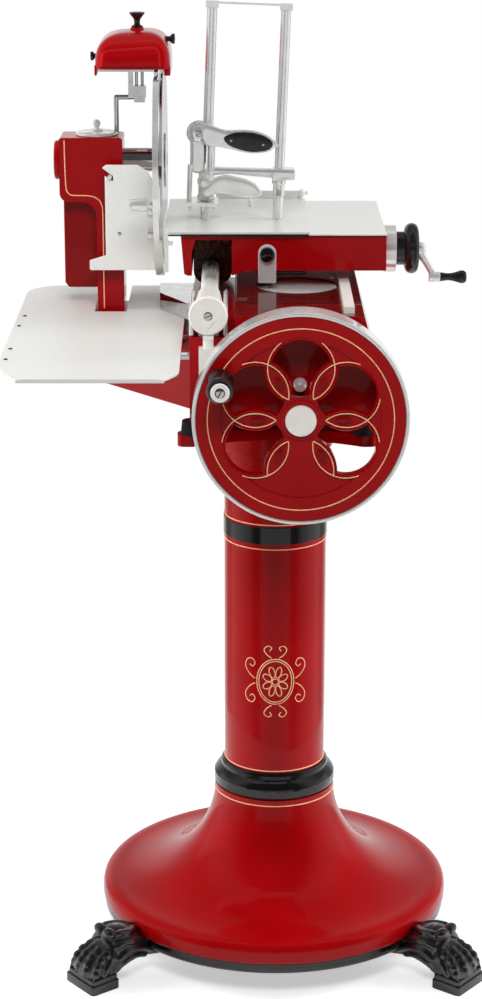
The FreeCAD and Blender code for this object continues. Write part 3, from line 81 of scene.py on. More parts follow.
def grained(name, grain, tones, rough, sheen=None, relief=None, spread=(0.3, 0.7), **shader):
    """A material whose colour and roughness follow a grain.

    A grain is (millimetres across, detail, stretch along X, Y and Z).  Tones are the two colours that
    it mixes over its spread, and rough is the roughness at its ends.  Sheen is another grain for the
    roughness, where it has its own.  Relief is (its own grain or None, strength, millimetres deep).
    """
    made = bpy.data.materials.new(name)
    made.use_nodes = True
    tree = made.node_tree
    surface = tree.nodes["Principled BSDF"]
    for socket, value in shader.items():
        surface.inputs[socket.replace("_", " ")].default_value = value
    place = add(tree, "ShaderNodeTexCoord").outputs["Object"]

    def lumps(size, detail=2.0, stretch=(1, 1, 1)):
        drawn = add(tree, "ShaderNodeMapping", {"Vector": place, "Scale": stretch}).outputs["Vector"]
        noise = add(tree, "ShaderNodeTexNoise", {"Vector": drawn, "Scale": 1 / (size * MM), "Detail": detail})
        return noise.outputs["Fac"]

    pattern = lumps(*grain)
    colour = add(tree, "ShaderNodeValToRGB", {"Fac": pattern}, list(zip(spread, map(linear, tones))))
    tree.links.new(colour.outputs["Color"], surface.inputs["Base Color"])
    gloss = add(tree, "ShaderNodeMapRange", {"Value": lumps(*sheen) if sheen else pattern,
                                             "To Min": rough[0], "To Max": rough[1]})
    tree.links.new(gloss.outputs["Result"], surface.inputs["Roughness"])
    if relief:
        own, strength, depth = relief
        bump = add(tree, "ShaderNodeBump", {"Height": lumps(*own) if own else pattern,
                                            "Strength": strength, "Distance": depth * MM})
        tree.links.new(bump.outputs["Normal"], surface.inputs["Normal"])
    return made


def stoved_enamel(name, dark, light, coat=1.2):
    """Stoved enamel under clear lacquer: deep even colour, with a faint orange peel of 7 mm."""
    return grained(name, (90, 1.0), (dark, light), (0.30, 0.36), relief=((7, 0.0), 0.03, 0.02),
                   spread=(0.35, 0.65), Coat_Weight=1.0, Coat_Roughness=0.025, Coat_IOR=coat,
                   Specular_IOR_Level=0.1)


def polished_chrome(name, tone, rough):
    """Chrome plate on polished steel: mirror bright, with faint wiping marks."""
    return grained(name, (14, 3.0), (tone, "#EDEEEF"), (rough * 0.7, rough * 1.3), Metallic=1.0)


def ground_steel(name, dark, light, rough, stretch=(1, 30, 30), metal=1.0):
    """Stainless sheet, finely ground: long grain 0.4 to 0.6 mm wide that spreads the highlight."""
    return grained(name, (12, 2.0, stretch), (dark, light), (rough * 0.8, rough * 1.25),
                   relief=(None, 0.05, 0.02), Metallic=metal)


def black_casting():
    """Sand cast iron under black enamel: a low gloss that breaks up on grit of about 2 mm."""
    return grained("black_enamelled_casting", (2.2, 4.0), ("#070606", "#13100F"), (0.26, 0.42),
                   relief=(None, 0.18, 0.25), spread=(0.35, 0.65), Coat_Weight=1.0, Coat_Roughness=0.1)


def moulded_phenolic():
    """Moulded phenolic for knobs and grips: black, buffed, with faint flow marks."""
    return grained("moulded_phenolic", (11, 3.0), ("#0E0D0D", "#232222"), (0.14, 0.26),
                   relief=((1.4,), 0.03, 0.05), IOR=1.55, Specular_IOR_Level=0.5)


def gold_paint():
    """Gold sign paint laid on with a lining brush: satin, a little uneven."""
    return grained("gold_lining_paint", (7, 3.0), ("#FFB47E", "#FFCDA4"), (0.30, 0.45), Metallic=0.05)


def bright_plate(name, dark, light, metal, rough):
    """Buffed nickel plate with a pale bloom, brighter than bare chrome in a white room."""
    return grained(name, (26, 3.0), (dark, light), (rough * 0.8, rough * 1.2), sheen=(3,), Metallic=metal)


def oiled_steel(name, dark, light):
    """Machined metal under a film of oil, which darkens it in patches of 6 mm."""
    return grained(name, (6, 3.0), (dark, light), (0.22, 0.4), spread=(0.35, 0.65), Metallic=1.0)


def dull(name, dark, light, rough, size, strength=0.2):
    """Rubber or bonded grit: no shine, and a grain that can be felt."""
    return grained(name, (size, 4.0), (dark, light), (rough * 0.9, rough * 1.1),
                   relief=(None, strength, size * 0.2), spread=(0.35, 0.65))


RED = stoved_enamel("red_stoved_enamel", "#960104", "#9E0208")
# A darker red for the base's top: painted shade of the carriage over it.
TOP_SHADE_RED = stoved_enamel("painted_top_shade_enamel", "#4C0606", "#560808", 1.6)
# A darker red for the recessed rear cover and the spoke hollows: painted shade.
RECESS_SHADE_RED = stoved_enamel("painted_recess_shade_enamel", "#780406", "#840608")
BLACK = stoved_enamel("black_stoved_enamel", "#060505", "#0D0B0B", 1.5)
CHROME = polished_chrome("polished_chrome", "#D6D7D8", 0.06)
SATIN_CHROME = polished_chrome("satin_chrome", "#D2D3D3", 0.22)
NICKEL = bright_plate("buffed_nickel", "#ECEBE8", "#FAFAF7", 0.62, 0.14)
POST = bright_plate("hard_chrome", "#F0F0EF", "#FCFCFC", 0.7, 0.1)
RIM = bright_plate("polished_rim", "#E9EAE8", "#F4F5F2", 0.62, 0.16)
CREAM = bright_plate("matt_nickel", "#EFECE5", "#F9F6EF", 0.2, 0.3)
STEEL = ground_steel("ground_stainless", "#EAEAE6", "#F6F6F2", 0.35, metal=0.4)
TRAY = ground_steel("brushed_tray_sheet", "#E3E4E0", "#EFF0EC", 0.5, (1, 22, 22), 0.25)
GUARD = ground_steel("pale_guard_sheet", "#F3F3EF", "#FCFCF8", 0.45, (22, 22, 1), 0.15)
BLADE = ground_steel("hardened_blade_steel", "#BFC0C0", "#DADBDB", 0.16)
CASTING = black_casting()
PHENOLIC = moulded_phenolic()
GOLD = gold_paint()
DARK = oiled_steel("oiled_dark_steel", "#242426", "#3C3C3E")
TUNNEL_BROWN = oiled_steel("tunnel_dark_brown", "#241A15", "#5C4334")
BRONZE = oiled_steel("bearing_bronze", "#8C6232", "#B58A4C")
RUBBER = dull("foot_rubber", "#101010", "#1B1B1B", 0.8, 2.0)
STONE = dull("bonded_grit", "#7E7A70", "#A39E92", 0.9, 1.2, 0.5)

BODIES = frame["record"]["behaviour"]["bodies"]
BODY_OF = {node: body for body, nodes in BODIES.items() for node in nodes}


# ---------------------------------------------------------------- making pieces

def poured(name, mesh):
    """A bmesh turned into mesh data."""
    data = bpy.data.meshes.new(name)
    mesh.to_mesh(data)
    mesh.free()
    return data


def piece(name, mesh, finish, body, stands_for=(), smooth=35):
    """A piece that rides on a body, and may stand for CAD nodes."""
    data = poured(name, mesh)
    data.shade_smooth()
    data.set_sharp_from_angle(angle=math.radians(smooth))
    data.materials.append(finish)
    made = bpy.data.objects.new(name, data)
    bpy.context.scene.collection.objects.link(made)
    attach(made, body)
    if stands_for:
        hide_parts(*stands_for)
    return made


def remade(node, manner, mesh, finish, smooth=35):
    """A piece that stands for one CAD node and rides on its body."""
    return piece(f"{node}_{manner}", mesh, finish, BODY_OF[node], [node], smooth)


def rounded(made, width, segments=2, limit=35):
    """Rounds a piece's sharp edges, as castings and buffed metal have them."""
    edge = made.modifiers.new("rounded edges", "BEVEL")
    edge.width = width * MM
    edge.segments = segments
    edge.limit_method = "ANGLE"
    edge.angle_limit = math.radians(limit)
    edge.harden_normals = True
    return made


def copied(node):
    """A clean copy of a CAD node's mesh: merged, with its flat faces whole."""
    mesh = bmesh.new()
    mesh.from_mesh(frame["nodes"][node].data)
    bmesh.ops.remove_doubles(mesh, verts=mesh.verts, dist=0.00002)
    bmesh.ops.dissolve_limit(mesh, angle_limit=math.radians(0.5), verts=mesh.verts, edges=mesh.edges)
    return mesh


def softened(node, finish, width=1.0, segments=2, limit=35):
    """A CAD node again, with its sharp edges rounded."""
    return rounded(remade(node, "finished", copied(node), finish), width, segments, limit)


def kept(finish, *nodes):
    """CAD nodes whose shape is right get their material."""
    for node in nodes:
        for slot in frame["nodes"][node].material_slots:
            slot.material = finish


def bevelled(mesh, edges, width, segments):
    """Rounds edges of a bmesh by a width in millimetres."""
    bmesh.ops.bevel(mesh, geom=edges, offset=width * MM, segments=segments, profile=0.5,
                    affect="EDGES", material=-1)


def trimmed(mesh, place, away):
    """Cuts off what lies past a plane, and returns the cut's geometry."""
    every = mesh.verts[:] + mesh.edges[:] + mesh.faces[:]
    cut = bmesh.ops.bisect_plane(mesh, geom=every, plane_co=place, plane_no=away, clear_outer=True)
    return cut["geom_cut"]


def aimed(place, axis):
    """The move that takes the Z axis to an axis through place."""
    return Matrix.Translation(place) @ Vector(axis).to_track_quat("Z", "Y").to_matrix().to_4x4()


def turned(profile, place=(0, 0, 0), axis=Z, steps=48):
    """Spins a profile of (radius, height) in millimetres about an axis through place."""
    mesh = bmesh.new()
    points = [mesh.verts.new((r * MM, 0, h * MM)) for r, h in profile]
    edges = [mesh.edges.new(pair) for pair in zip(points, points[1:])]
    bmesh.ops.spin(mesh, geom=points + edges, cent=(0, 0, 0), axis=(0, 0, 1), angle=math.tau,
                   steps=steps, use_merge=True)
    bmesh.ops.remove_doubles(mesh, verts=mesh.verts, dist=0.00001)
    bmesh.ops.recalc_face_normals(mesh, faces=mesh.faces)
    mesh.transform(aimed(place, axis))
    return mesh


def joined(*meshes):
    """One bmesh from several."""
    whole = bmesh.new()
    for part in meshes:
        data = poured("part", part)
        whole.from_mesh(data)
        bpy.data.meshes.remove(data)
    return whole


def settled(thing):
    """The mesh that an object comes to with its bevel or modifiers; the object goes."""
    bpy.context.scene.collection.objects.link(thing)
    bpy.context.view_layer.update()
    data = bpy.data.meshes.new_from_object(thing.evaluated_get(bpy.context.evaluated_depsgraph_get()))
    bpy.data.objects.remove(thing)
    mesh = bmesh.new()
    mesh.from_mesh(data)
    bpy.data.meshes.remove(data)
    return mesh


def round_bar(name, depth, sides):
    """An empty curve that is drawn as a round bar with closed ends."""
    curve = bpy.data.curves.new(name, "CURVE")
    curve.dimensions = "3D"
    curve.bevel_depth = depth
    curve.bevel_resolution = sides
    curve.use_fill_caps = True
    return curve


def lined(name, paths, body, width, paint=GOLD):
    """Round-edged strokes along paths, each (points, closed): painted lining, or a cast lip."""
    curve = round_bar(name, width / 2 * MM, 2)
    for points, closed in paths:
        line = curve.splines.new("POLY")
        line.points.add(len(points) - 1)
        for spot, point in zip(line.points, points):
            spot.co = (*point, 1)
        line.use_cyclic_u = closed
    return piece(name, settled(bpy.data.objects.new(name, curve)), paint, body)


def swept(path, radii, steps=6, sides=5):
    """A round bar bent smoothly through points in millimetres, with its own radius at each."""
    curve = round_bar("bar", MM, sides)
    line = curve.splines.new("BEZIER")
    line.resolution_u = steps
    line.bezier_points.add(len(path) - 1)
    for spot, point, radius in zip(line.bezier_points, path, radii):
        spot.co = at(*point)
        spot.radius = radius
        spot.handle_left_type = "AUTO"
        spot.handle_right_type = "AUTO"
    mesh = settled(bpy.data.objects.new("bar", curve))
    bmesh.ops.remove_doubles(mesh, verts=mesh.verts, dist=0.00001)
    bmesh.ops.recalc_face_normals(mesh, faces=mesh.faces)
    return mesh


def arc(centre, radius, across, up, low=0.0, high=360.0, steps=96):
    """Points of an arc in the plane of two directions, in millimetres from the column's foot."""
    points = []
    for i in range(steps + 1):
        turn = math.radians(low + (high - low) * i / steps)
        points.append(at(*(Vector(centre) + (across * math.cos(turn) + up * math.sin(turn)) * radius)))
    return points


def circle(centre, radius, across, up, steps):
    """A closed path for lined."""
    return arc(centre, radius, across, up, steps=steps)[:-1], True


def smoothed(points, steps=5, closed=True):
    """A smooth run of points through the given ones."""
    count = len(points)
    run = []
    for i in range(count if closed else count - 1):
        if closed:
            near = [Vector(points[(i + k - 1) % count]) for k in range(4)]
        else:
            near = [Vector(points[min(max(i + k - 1, 0), count - 1)]) for k in range(4)]
        a, b, c, d = near
        for j in range(steps):
            s = j / steps
            run.append(0.5 * (2 * b + (c - a) * s + (2 * a - 5 * b + 4 * c - d) * s * s
                              + (3 * b - a - 3 * c + d) * s * s * s))
    if not closed:
        run.append(Vector(points[-1]))
    return run


def shaped(first, curve, last):
    """A profile that starts and ends with given points and is smooth between them."""
    return first + [tuple(point) for point in smoothed(curve, 4, False)] + last


def slab(outline, front, back, soft, segments):
    """An outline of (X, Z), pulled from front to back along Y, with its rims rounded."""
    mesh = bmesh.new()
    face = mesh.faces.new([mesh.verts.new(at(x, front, z)) for x, z in outline])
    pulled = bmesh.ops.extrude_face_region(mesh, geom=[face])
    fresh = [v for v in pulled["geom"] if isinstance(v, bmesh.types.BMVert)]
    bmesh.ops.translate(mesh, verts=fresh, vec=(0, (back - front) * MM, 0))
    bmesh.ops.recalc_face_normals(mesh, faces=mesh.faces)
    rims = [e for e in mesh.edges if len(e.link_faces) == 2 and e.calc_face_angle(0) > 1.0]
    bevelled(mesh, rims, soft, segments)
    return mesh


def ball(mesh, centre, radii, lean=0.0, detail=16):
    """Adds an ellipsoid, in millimetres, leaned about Y."""
    turn = Matrix.Rotation(math.radians(lean), 4, "Y")
    stretch = Matrix.Diagonal((*[r * MM for r in radii], 1))
    lump = bmesh.new()
    bmesh.ops.create_uvsphere(lump, u_segments=detail, v_segments=detail // 2 + 2, radius=1,
                              matrix=Matrix.Translation(Vector(centre) * MM) @ turn @ stretch)
    data = poured("lump", lump)
    mesh.from_mesh(data)
    bpy.data.meshes.remove(data)


def slotted_screw(name, body, place, axis, radius, high, turn=0.0):
    """A round screw head with a slot across it, over a dark seat."""
    halves = []
    for way in (1, -1):
        half = turned([(0, 0), (radius, 0), (radius, high * 0.5), (radius * 0.82, high), (0, high)], steps=32)
        cut = trimmed(half, (0, way * radius * 0.11 * MM, 0), (0, -way, 0))
        bmesh.ops.contextual_create(half, geom=[e for e in cut if isinstance(e, bmesh.types.BMEdge)])
        halves.append(half)
    head = joined(*halves)
    head.transform(aimed(place, axis) @ Matrix.Rotation(math.radians(turn), 4, "Z"))
    piece(f"{name}_head", head, CHROME, body)
    seat = [(0, 0), (radius * 1.1, 0), (radius * 1.1, high * 0.3), (0, high * 0.3)]
    piece(f"{name}_seat", turned(seat, place, axis, 32), DARK, body)


# ---------------------------------------------------------------- pedestal

DISC_RADIUS = 283
NECK_TOP = 256          # the bell's sweep ends here, against the column
COLUMN_SKIN = 81.0      # radius on which the lining lies
ORNAMENT_Z = 455


def bell_sweep(radius, first, last, step):
    """A quarter circle between the neck and the disc, seen in section."""
    turns = [math.radians(degrees) for degrees in range(first, last, step)]
    return [(258 - radius * math.cos(turn), NECK_TOP - radius * math.sin(turn)) for turn in turns]


def pedestal():
    """The trumpet bell on its ring, the column with its bands, and the head under the machine."""
    outside = bell_sweep(161, 0, 91, 3)
    inside = bell_sweep(170, 90, -1, -6)
    rolled_rim = [(266, 95), (272.4, 93.8), (277.4, 91), (281, 86.6), (282.7, 81), (DISC_RADIUS, 75),
                  (DISC_RADIUS, 65), (281.8, 61.6), (279, 60), (274, 60), (273, 86)]
    bell = turned(outside + rolled_rim + inside + [outside[0]], at(0, 0, 0), Z, 144)
    remade("pedestal_bell", "turned", bell, RED, 50)
    ring = [(236, 41.2), (268, 41.2), (276, 43.6), (279.8, 48), (280.6, 54), (280.6, 60.2), (236, 60.2),
            (236, 41.2)]
    remade("base_ring", "turned", turned(ring, at(0, 0, 0), Z, 144), BLACK, 50)
    softened("column", RED, 0.6)
    softened("pedestal_head", RED, 3, 3)
    softened("column_collars", BLACK, 1.2, 3, 20)
    kept(DARK, "tie_rod")
    kept(RUBBER, "rubber_feet")
    hoops = [circle((0, 0, height), COLUMN_SKIN, X, Y, 128) for height in (675, 715, 301)]
    # The line on the bell runs just below its neck.
    hoops.append(circle((0, 0, 247), 97.3, X, Y, 128))
    lined("column_lining", hoops, "stand", 1.9)
    lined("column_ornament", ornament(), "stand", 1.6)


def on_column(points):
    """Points of a drawing, wrapped round the column's front at the ornament's height."""
    out = COLUMN_SKIN + 0.1
    spots = []
    for across, up in points:
        turn = across / out
        spots.append(at(out * math.sin(turn), -out * math.cos(turn), ORNAMENT_Z + up))
    return spots


def oval(wide, tall, steps=72):
    """Points of an ellipse with half axes wide and tall."""
    turns = [i * math.tau / steps for i in range(steps)]
    return [(wide * math.cos(turn), tall * math.sin(turn)) for turn in turns]


def petal(lean, start=6, length=15, half=4.2):
    """A closed leaf shape that points outward, stretched a quarter upward."""
    loop = []
    for i in range(24):
        along = start + length * (1 - math.cos(i * math.tau / 24)) / 2
        side = half * math.sin(i * math.tau / 24)
        across = along * math.cos(lean) - side * math.sin(lean)
        up = along * math.sin(lean) + side * math.cos(lean)
        loop.append((across, up * 1.25))
    return loop


def ornament():
    """A plain oval rosette between scrolls, painted on the column's front."""
    strokes = [(on_column(oval(*size)), True) for size in ((30, 38), (26.5, 34.5), (5, 5))]
    for number in range(8):
        strokes.append((on_column(petal(math.radians(number * 45 + 22.5))), True))
    scroll = smoothed([(33, 4), (42, 10), (50, 22), (47, 34), (38, 37), (33, 30), (37, 24), (42, 27)],
                      6, False)
    twig = smoothed([(6, 40), (14, 46), (18, 54), (12, 60), (6, 57), (9, 52)], 6, False)
    for way in (-1, 1):
        for rise in (-1, 1):
            for line in (scroll, twig):
                strokes.append((on_column([(way * p.x, rise * p.y) for p in line]), False))
    return strokes


pedestal()


# ---------------------------------------------------------------- flywheel

WHEEL = Vector((33, -262, 932))          # centre of the wheel's front face
PETALS = (90, 30, -30, 210, 150, 270)    # degrees; the last one has no window
BLANK = 270
PETAL_OUT = 77                           # from the wheel's centre to a petal's
HANDLE_TURN, HANDLE_OUT = 153, 132
PIN_LENGTH = 76.6


def spoke(degrees):
    """Outward and sideways in the wheel's plane."""
    turn = math.radians(degrees)
    return Vector((math.cos(turn), 0, math.sin(turn))), Vector((-math.sin(turn), 0, math.cos(turn)))


def wheel_lining():
    """A gold circle at the rim, and two arcs for each petal."""
    paths = [circle(WHEEL, 137, X, Z, 160)]
    for degrees in PETALS:
        out, side = spoke(degrees)
        first = 82 if degrees == BLANK else 37
        for way in (side, -side):
            paths.append((arc(WHEEL + out * PETAL_OUT, 49, out, way, first, 158.2, 48), False))
    lined("flywheel_lining", paths, "flywheel", 1.8)


def window_lips():
    """Each window has a rolled lip: an arc at the rim, and the sides of its two neighbours."""
    lips = []
    for degrees in PETALS:
        out, side = spoke(degrees)
        centre = WHEEL + out * PETAL_OUT
        if degrees != BLANK:
            lips.append((arc(centre, 45.4, out, side, -75, 75, 40), False))
        for way, beside in ((side, degrees + 60), (-side, degrees - 60)):
            if beside % 360 != BLANK:
                lips.append((arc(centre, 52.6, out, way, 88, 146, 24), False))
    lined("window_lips", lips, "flywheel", 3.0, RED)


def painted_hollow_shades():
    """A dark red lens shape on the middle of each spoke, a little proud of it: painted shade for a sunk
    hollow.
    """
    lens_shades = []
    for degrees in range(0, 360, 60):
        out, side = spoke(degrees)
        lens = [WHEEL + out * (63 + along) + side * across for along, across in oval(11, 4.6, 28)]
        lens_shades.append(slab([(q.x, q.z) for q in lens], WHEEL.y - 0.3, WHEEL.y + 2, 0.25, 2))
    piece("painted_hollow_shades", joined(*lens_shades), RECESS_SHADE_RED, "flywheel")


def flywheel():
    """The wheel with its rim, cap and painted lines, and the handle on its pin."""
    softened("flywheel", RED, 2.6, 4)
    softened("flywheel_rim", RIM, 2.4, 4)
    softened("hub_cap", CREAM, 1.6, 4)
    kept(DARK, "main_shaft")
    wheel_lining()
    window_lips()
    painted_hollow_shades()
    oiler = [(0, -1), (10.4, -1), (10.4, 8), (9, 10.4), (5, 11.4), (0, 11.6)]
    piece("bearing_oiler", turned(oiler, at(WHEEL.x, -190, 969), -Y, 36), NICKEL, "stand")
    seat = WHEEL + spoke(HANDLE_TURN)[0] * HANDLE_OUT
    grip = shaped([(6.2, 0.3)], [
        (16.5, 0.3), (18.6, 1.6), (19, 5), (17.4, 11), (15.4, 19), (15, 28), (16.2, 39), (18.3, 49),
        (19.8, 57), (19.9, 62), (18.4, 67.5), (15.6, 70.6), (13, 71.6),
    ], [(6.2, 71.6), (6.2, 0.3)])
    remade("crank_handle", "turned", turned(grip, at(*seat), -Y, 56), PHENOLIC)
    pin = [(0, -12), (6, -12), (6, 72.2), (12.4, 72.2), (13.8, 73), (14, 74.6), (13.4, 76),
           (11.8, PIN_LENGTH), (0, PIN_LENGTH)]
    remade("handle_pin", "turned", turned(pin, at(*seat), -Y, 48), CREAM)
    slotted_screw("handle_screw", BODY_OF["handle_pin"], at(*(seat - Y * PIN_LENGTH)), -Y, 6.8, 1.3, 62)


flywheel()


# ---------------------------------------------------------------- machine base, casing and drive

SHADED_TOP = 1068       # the base's top faces lie over this height


def casing():
    """The base, the blade's casing with its gold line, and the drive inside them."""
    base = softened("machine_base", RED, 6, 4)
    # The top faces, that the carriage shades, get a darker red: painted shade.
    base.data.materials.append(TOP_SHADE_RED)
    for face in base.data.polygons:
        if face.normal.z > 0.9 and face.center.z > SHADED_TOP * MM:
            face.material_index = 1
    softened("casing", RED, 2.5, 3)
    # The rear cover lies in a recess; its darker red is painted shade.
    softened("casing_rear_cover", RECESS_SHADE_RED, 2.5, 3)
    kept(STEEL, "crank_shaft")
    kept(DARK, "connecting_rod", "cross_shaft", "upper_sprocket", "drive_chain")
    kept(BRONZE, "shaft_bushes")
    kept(CHROME, "bearing_housing")
    kept(RED, "shaft_cap")
    edge = smoothed([
        (-334, 1284), (-333.8, 1253), (-332.8, 1214), (-330.6, 1202.5), (-324, 1197.2), (-308, 1196.4),
        (-297, 1196), (-287, 1193.6), (-279.5, 1188), (-275.4, 1179), (-274.5, 1168),
    ], 5, False)
    edge += [Vector((-274.5, 1090)), Vector((-274.5, 1014))]
    lined("casing_lining", [([at(q.x, 137.9, q.y) for q in edge], False)], BODY_OF["casing"], 1.8)
    softened("oil_cap", NICKEL, 0.8)
    softened("tray_brackets", CHROME, 0.8)


casing()


# ---------------------------------------------------------------- blade, guard and sharpener

HOOD_Y = 175
STONE_KNOB_X = -218
TAIL_LOW, TAIL_HIGH = 1388, 1404


def domed(centre, half, plan, rise, base, lean):
    """A rounded box over a flat base; plan and rise say how boxy it is, lean lowers its left side."""
    mesh = bmesh.new()
    bmesh.ops.create_cube(mesh, size=2)
    bmesh.ops.subdivide_edges(mesh, edges=mesh.edges, cuts=23, use_grid_fill=True)
    for vert in mesh.verts:
        ray = vert.co.normalized()
        across = (abs(ray.x) ** plan + abs(ray.y) ** plan) ** (1 / plan)
        ray /= (across ** rise + abs(ray.z) ** rise) ** (1 / rise)
        ray.z *= 1 - lean * (1 - ray.x)
        vert.co = at(*(centre[i] + half[i] * ray[i] for i in range(3)))
    trimmed(mesh, at(0, 0, base), (0, 0, -1))
    return mesh


def hood_tail(x, wide):
    """A thin strip of the hood beside the blade, from front to back."""
    tail = bmesh.new()
    bmesh.ops.create_cube(tail, size=1)
    for vert in tail.verts:
        z = TAIL_HIGH if vert.co.z > 0 else TAIL_LOW
        vert.co = at(x + vert.co.x * wide, HOOD_Y + vert.co.y * 122, z)
    bevelled(tail, tail.edges, 1.1, 2)
    return tail


def hood():
    """Domed hood with a raised front panel, open below, and tails on both sides of the blade."""
    shell = domed((-223.5, HOOD_Y, 1399), (59.5, 75, 57.5), 7, 3.0, 1399, 0.05)
    panel = domed((-226, HOOD_Y - 2.4, 1386), (50, 76, 55), 10, 5.5, TAIL_HIGH, 0.06)
    for form, thick in ((shell, 3.5), (panel, 2)):
        bmesh.ops.solidify(form, geom=form.faces, thickness=thick * MM)
    tails = [hood_tail(-281.2, 3.6), hood_tail(-169.6, 9.6)]
    boss = turned([(0, -6), (12, -6), (11.4, 3), (10, 4.8), (8, 5.4), (0, 5.4)],
                  at(STONE_KNOB_X, HOOD_Y, 1451.6), Z, 40)
    remade("sharpener_hood", "domed", joined(shell, panel, boss, *tails), RED, 40)
    knob = shaped([(0, 0)], [
        (9, 0), (9.2, 1.6), (5.4, 3.6), (4.7, 8), (5.6, 12.5), (9, 17), (12, 21), (11.6, 22.8), (7, 23.6),
    ], [(0, 23.8)])
    piece("stone_knob_turned", turned(knob, at(STONE_KNOB_X, HOOD_Y, 1457.2), Z, 40), PHENOLIC,
          BODY_OF["stone_knob_top"], ["stone_knob_top"])


def guard_knob():
    """The ring guard's clamping knob, with a black band round it."""
    place = at(-183, 13, 1203)
    knob = [(0, 0), (9, 0), (9.6, 1), (9.6, 7.5), (5.4, 9), (5, 14), (8.8, 14.8), (11.2, 16.2), (11.5, 19),
            (9.6, 34), (8.8, 41), (7.4, 43.4), (3, 44.2), (0, 44.4)]
    remade("guard_knob", "turned", turned(knob, place, -X, 40), NICKEL)
    band = turned([(9.7, 1.5), (10.3, 1.9), (10.3, 6.5), (9.7, 7)], place, -X, 40)
    piece("guard_knob_ring", band, PHENOLIC, BODY_OF["guard_knob"])


def deflector():
    """The slice deflector with its rivet, and two lugs at its right edge."""
    softened("deflector_plate", GUARD, 0.7)
    softened("deflector_posts", NICKEL, 0.8)
    rivet = turned([(0, 0), (3.1, 0), (3, 1), (2, 2), (0, 2.3)], at(-247, 109, 1140), -Y, 24)
    piece("deflector_rivet", rivet, SATIN_CHROME, BODY_OF["deflector_plate"])
    lugs = [slab([(-203, z - 6), (-203, z + 6), (-190, z + 6), (-190, z - 6)], 100, 108.2, 1.6, 2)
            for z in (1178, 1140)]
    piece("deflector_lugs", joined(*lugs), NICKEL, BODY_OF["deflector_plate"])


def blade():
    """The blade in its guard, with the deflector before it and the sharpener over it."""
    kept(BLADE, "blade", "blade_shaft")
    softened("guard_ring", NICKEL, 1.0)
    guard_knob()
    deflector()
    hood()
    knobs = copied("side_knobs")
    # The right knob's stem is longer, so that it clears the hood's shoulder.
    right = [v for v in knobs.verts if v.co.x > at(-200, 0, 0).x]
    bmesh.ops.translate(knobs, verts=right, vec=(5 * MM, 0, 0))
    rounded(remade("side_knobs", "turned", knobs, PHENOLIC), 0.8)
    softened("sharpener_bracket", CHROME, 0.8)
    softened("sharpener_arm", CHROME, 0.8)
    kept(STONE, "grinding_stones")


blade()


# ---------------------------------------------------------------- carriage and table

ROD_X, ROD_Z = -103, 1075
FEED_Y, FEED_Z = 100, 1119
GRIP_Z = 1073           # the feed crank's grip hangs at this height


def slide_rod():
    """The rod's cap with its screw and key groove, and the side walls of its saddle."""
    softened("slide_rod", CREAM, 0.8)
    softened("rod_supports", CREAM, 1.2)
    slotted_screw("rod_screw", BODY_OF["slide_rod"], at(ROD_X, -204.8, ROD_Z), -Y, 6, 1.7, 20)
    # A key groove runs from beside the screw to the cap's rim.
    groove = slab([(-92.9, 1068), (-91.3, 1069.6), (-105.6, 1051.6), (-107.2, 1050.2)],
                  -205.2, -203.8, 0.3, 2)
    piece("rod_cap_groove", groove, DARK, BODY_OF["slide_rod"])
    walls = []
    for way in (-1, 1):
        outline = [(ROD_X + way * out, z) for out, z in ((22, 1041), (28.5, 1041), (28.5, 1084), (26, 1089),
                                                         (22, 1084))]
        walls.append(slab(outline, -186, -67, 1.8, 3))
    piece("rod_saddle_walls", joined(*walls), NICKEL, BODY_OF["rod_supports"])


def in_tunnel(spot):
    """Whether a place on the carriage lies in the tunnel round the rod."""
    return -131.5 < spot.x < -68.5 and spot.y > 18.5 and spot.z < 1147.5


def carriage_body():
    """The carriage's casting, with round cornered hangers and a dark brown tunnel."""
    casting = copied("carriage_body")
    lower = []
    for edge in casting.edges:
        first, last = (v.co for v in edge.verts)
        # The hangers round the bushes reach lowest, and their lower edges run along Y.
        if max(first.z, last.z) < 1052 * MM and abs(first.y - last.y) > 20 * MM:
            lower.append(edge)
    bevelled(casting, lower, 22, 7)
    body = rounded(remade("carriage_body", "cast", casting, RED), 2.4, 3)
    # The faces in the tunnel round the rod are dark brown.
    body.data.materials.append(TUNNEL_BROWN)
    for face in body.data.polygons:
        if in_tunnel(face.center / MM - COLUMN):
            face.material_index = 1


def feed_crank():
    """The small crank of the feed screw, and its grip."""
    hub = turned([(0, 0), (9, 0), (10, 1), (10, 10), (8.6, 14), (5, 16.6), (0, 17.4)],
                 at(221, FEED_Y, FEED_Z), X, 36)
    bend = ((226, 1116), (230.5, 1110), (238.5, 1097), (247.5, 1082), (252, 1074))
    arm = swept([(x, FEED_Y, z) for x, z in bend], [8, 7.2, 5.6, 5.4, 6])
    boss = turned([(0, 0), (7, 0), (8, 1), (8.2, 9), (8, 17), (7, 18), (0, 18)],
                  at(243.5, FEED_Y, GRIP_Z), X, 36)
    pin = turned([(0, 0), (3.4, 0), (3.4, 45), (0, 45)], at(258, FEED_Y, GRIP_Z), X, 20)
    remade("feed_crank", "forged", joined(hub, arm, boss, pin), NICKEL)
    grip = shaped([(3.6, 0)], [
        (6.4, 0), (7.1, 1), (6.7, 5), (5.9, 10), (5.8, 15), (6.7, 21), (8.6, 27.5), (10.2, 33), (10, 38),
        (7.4, 41.4), (4.2, 42.2),
    ], [(3.6, 42.2), (3.6, 0)])
    remade("feed_grip", "turned", turned(grip, at(261.3, FEED_Y, GRIP_Z), X, 36), PHENOLIC)


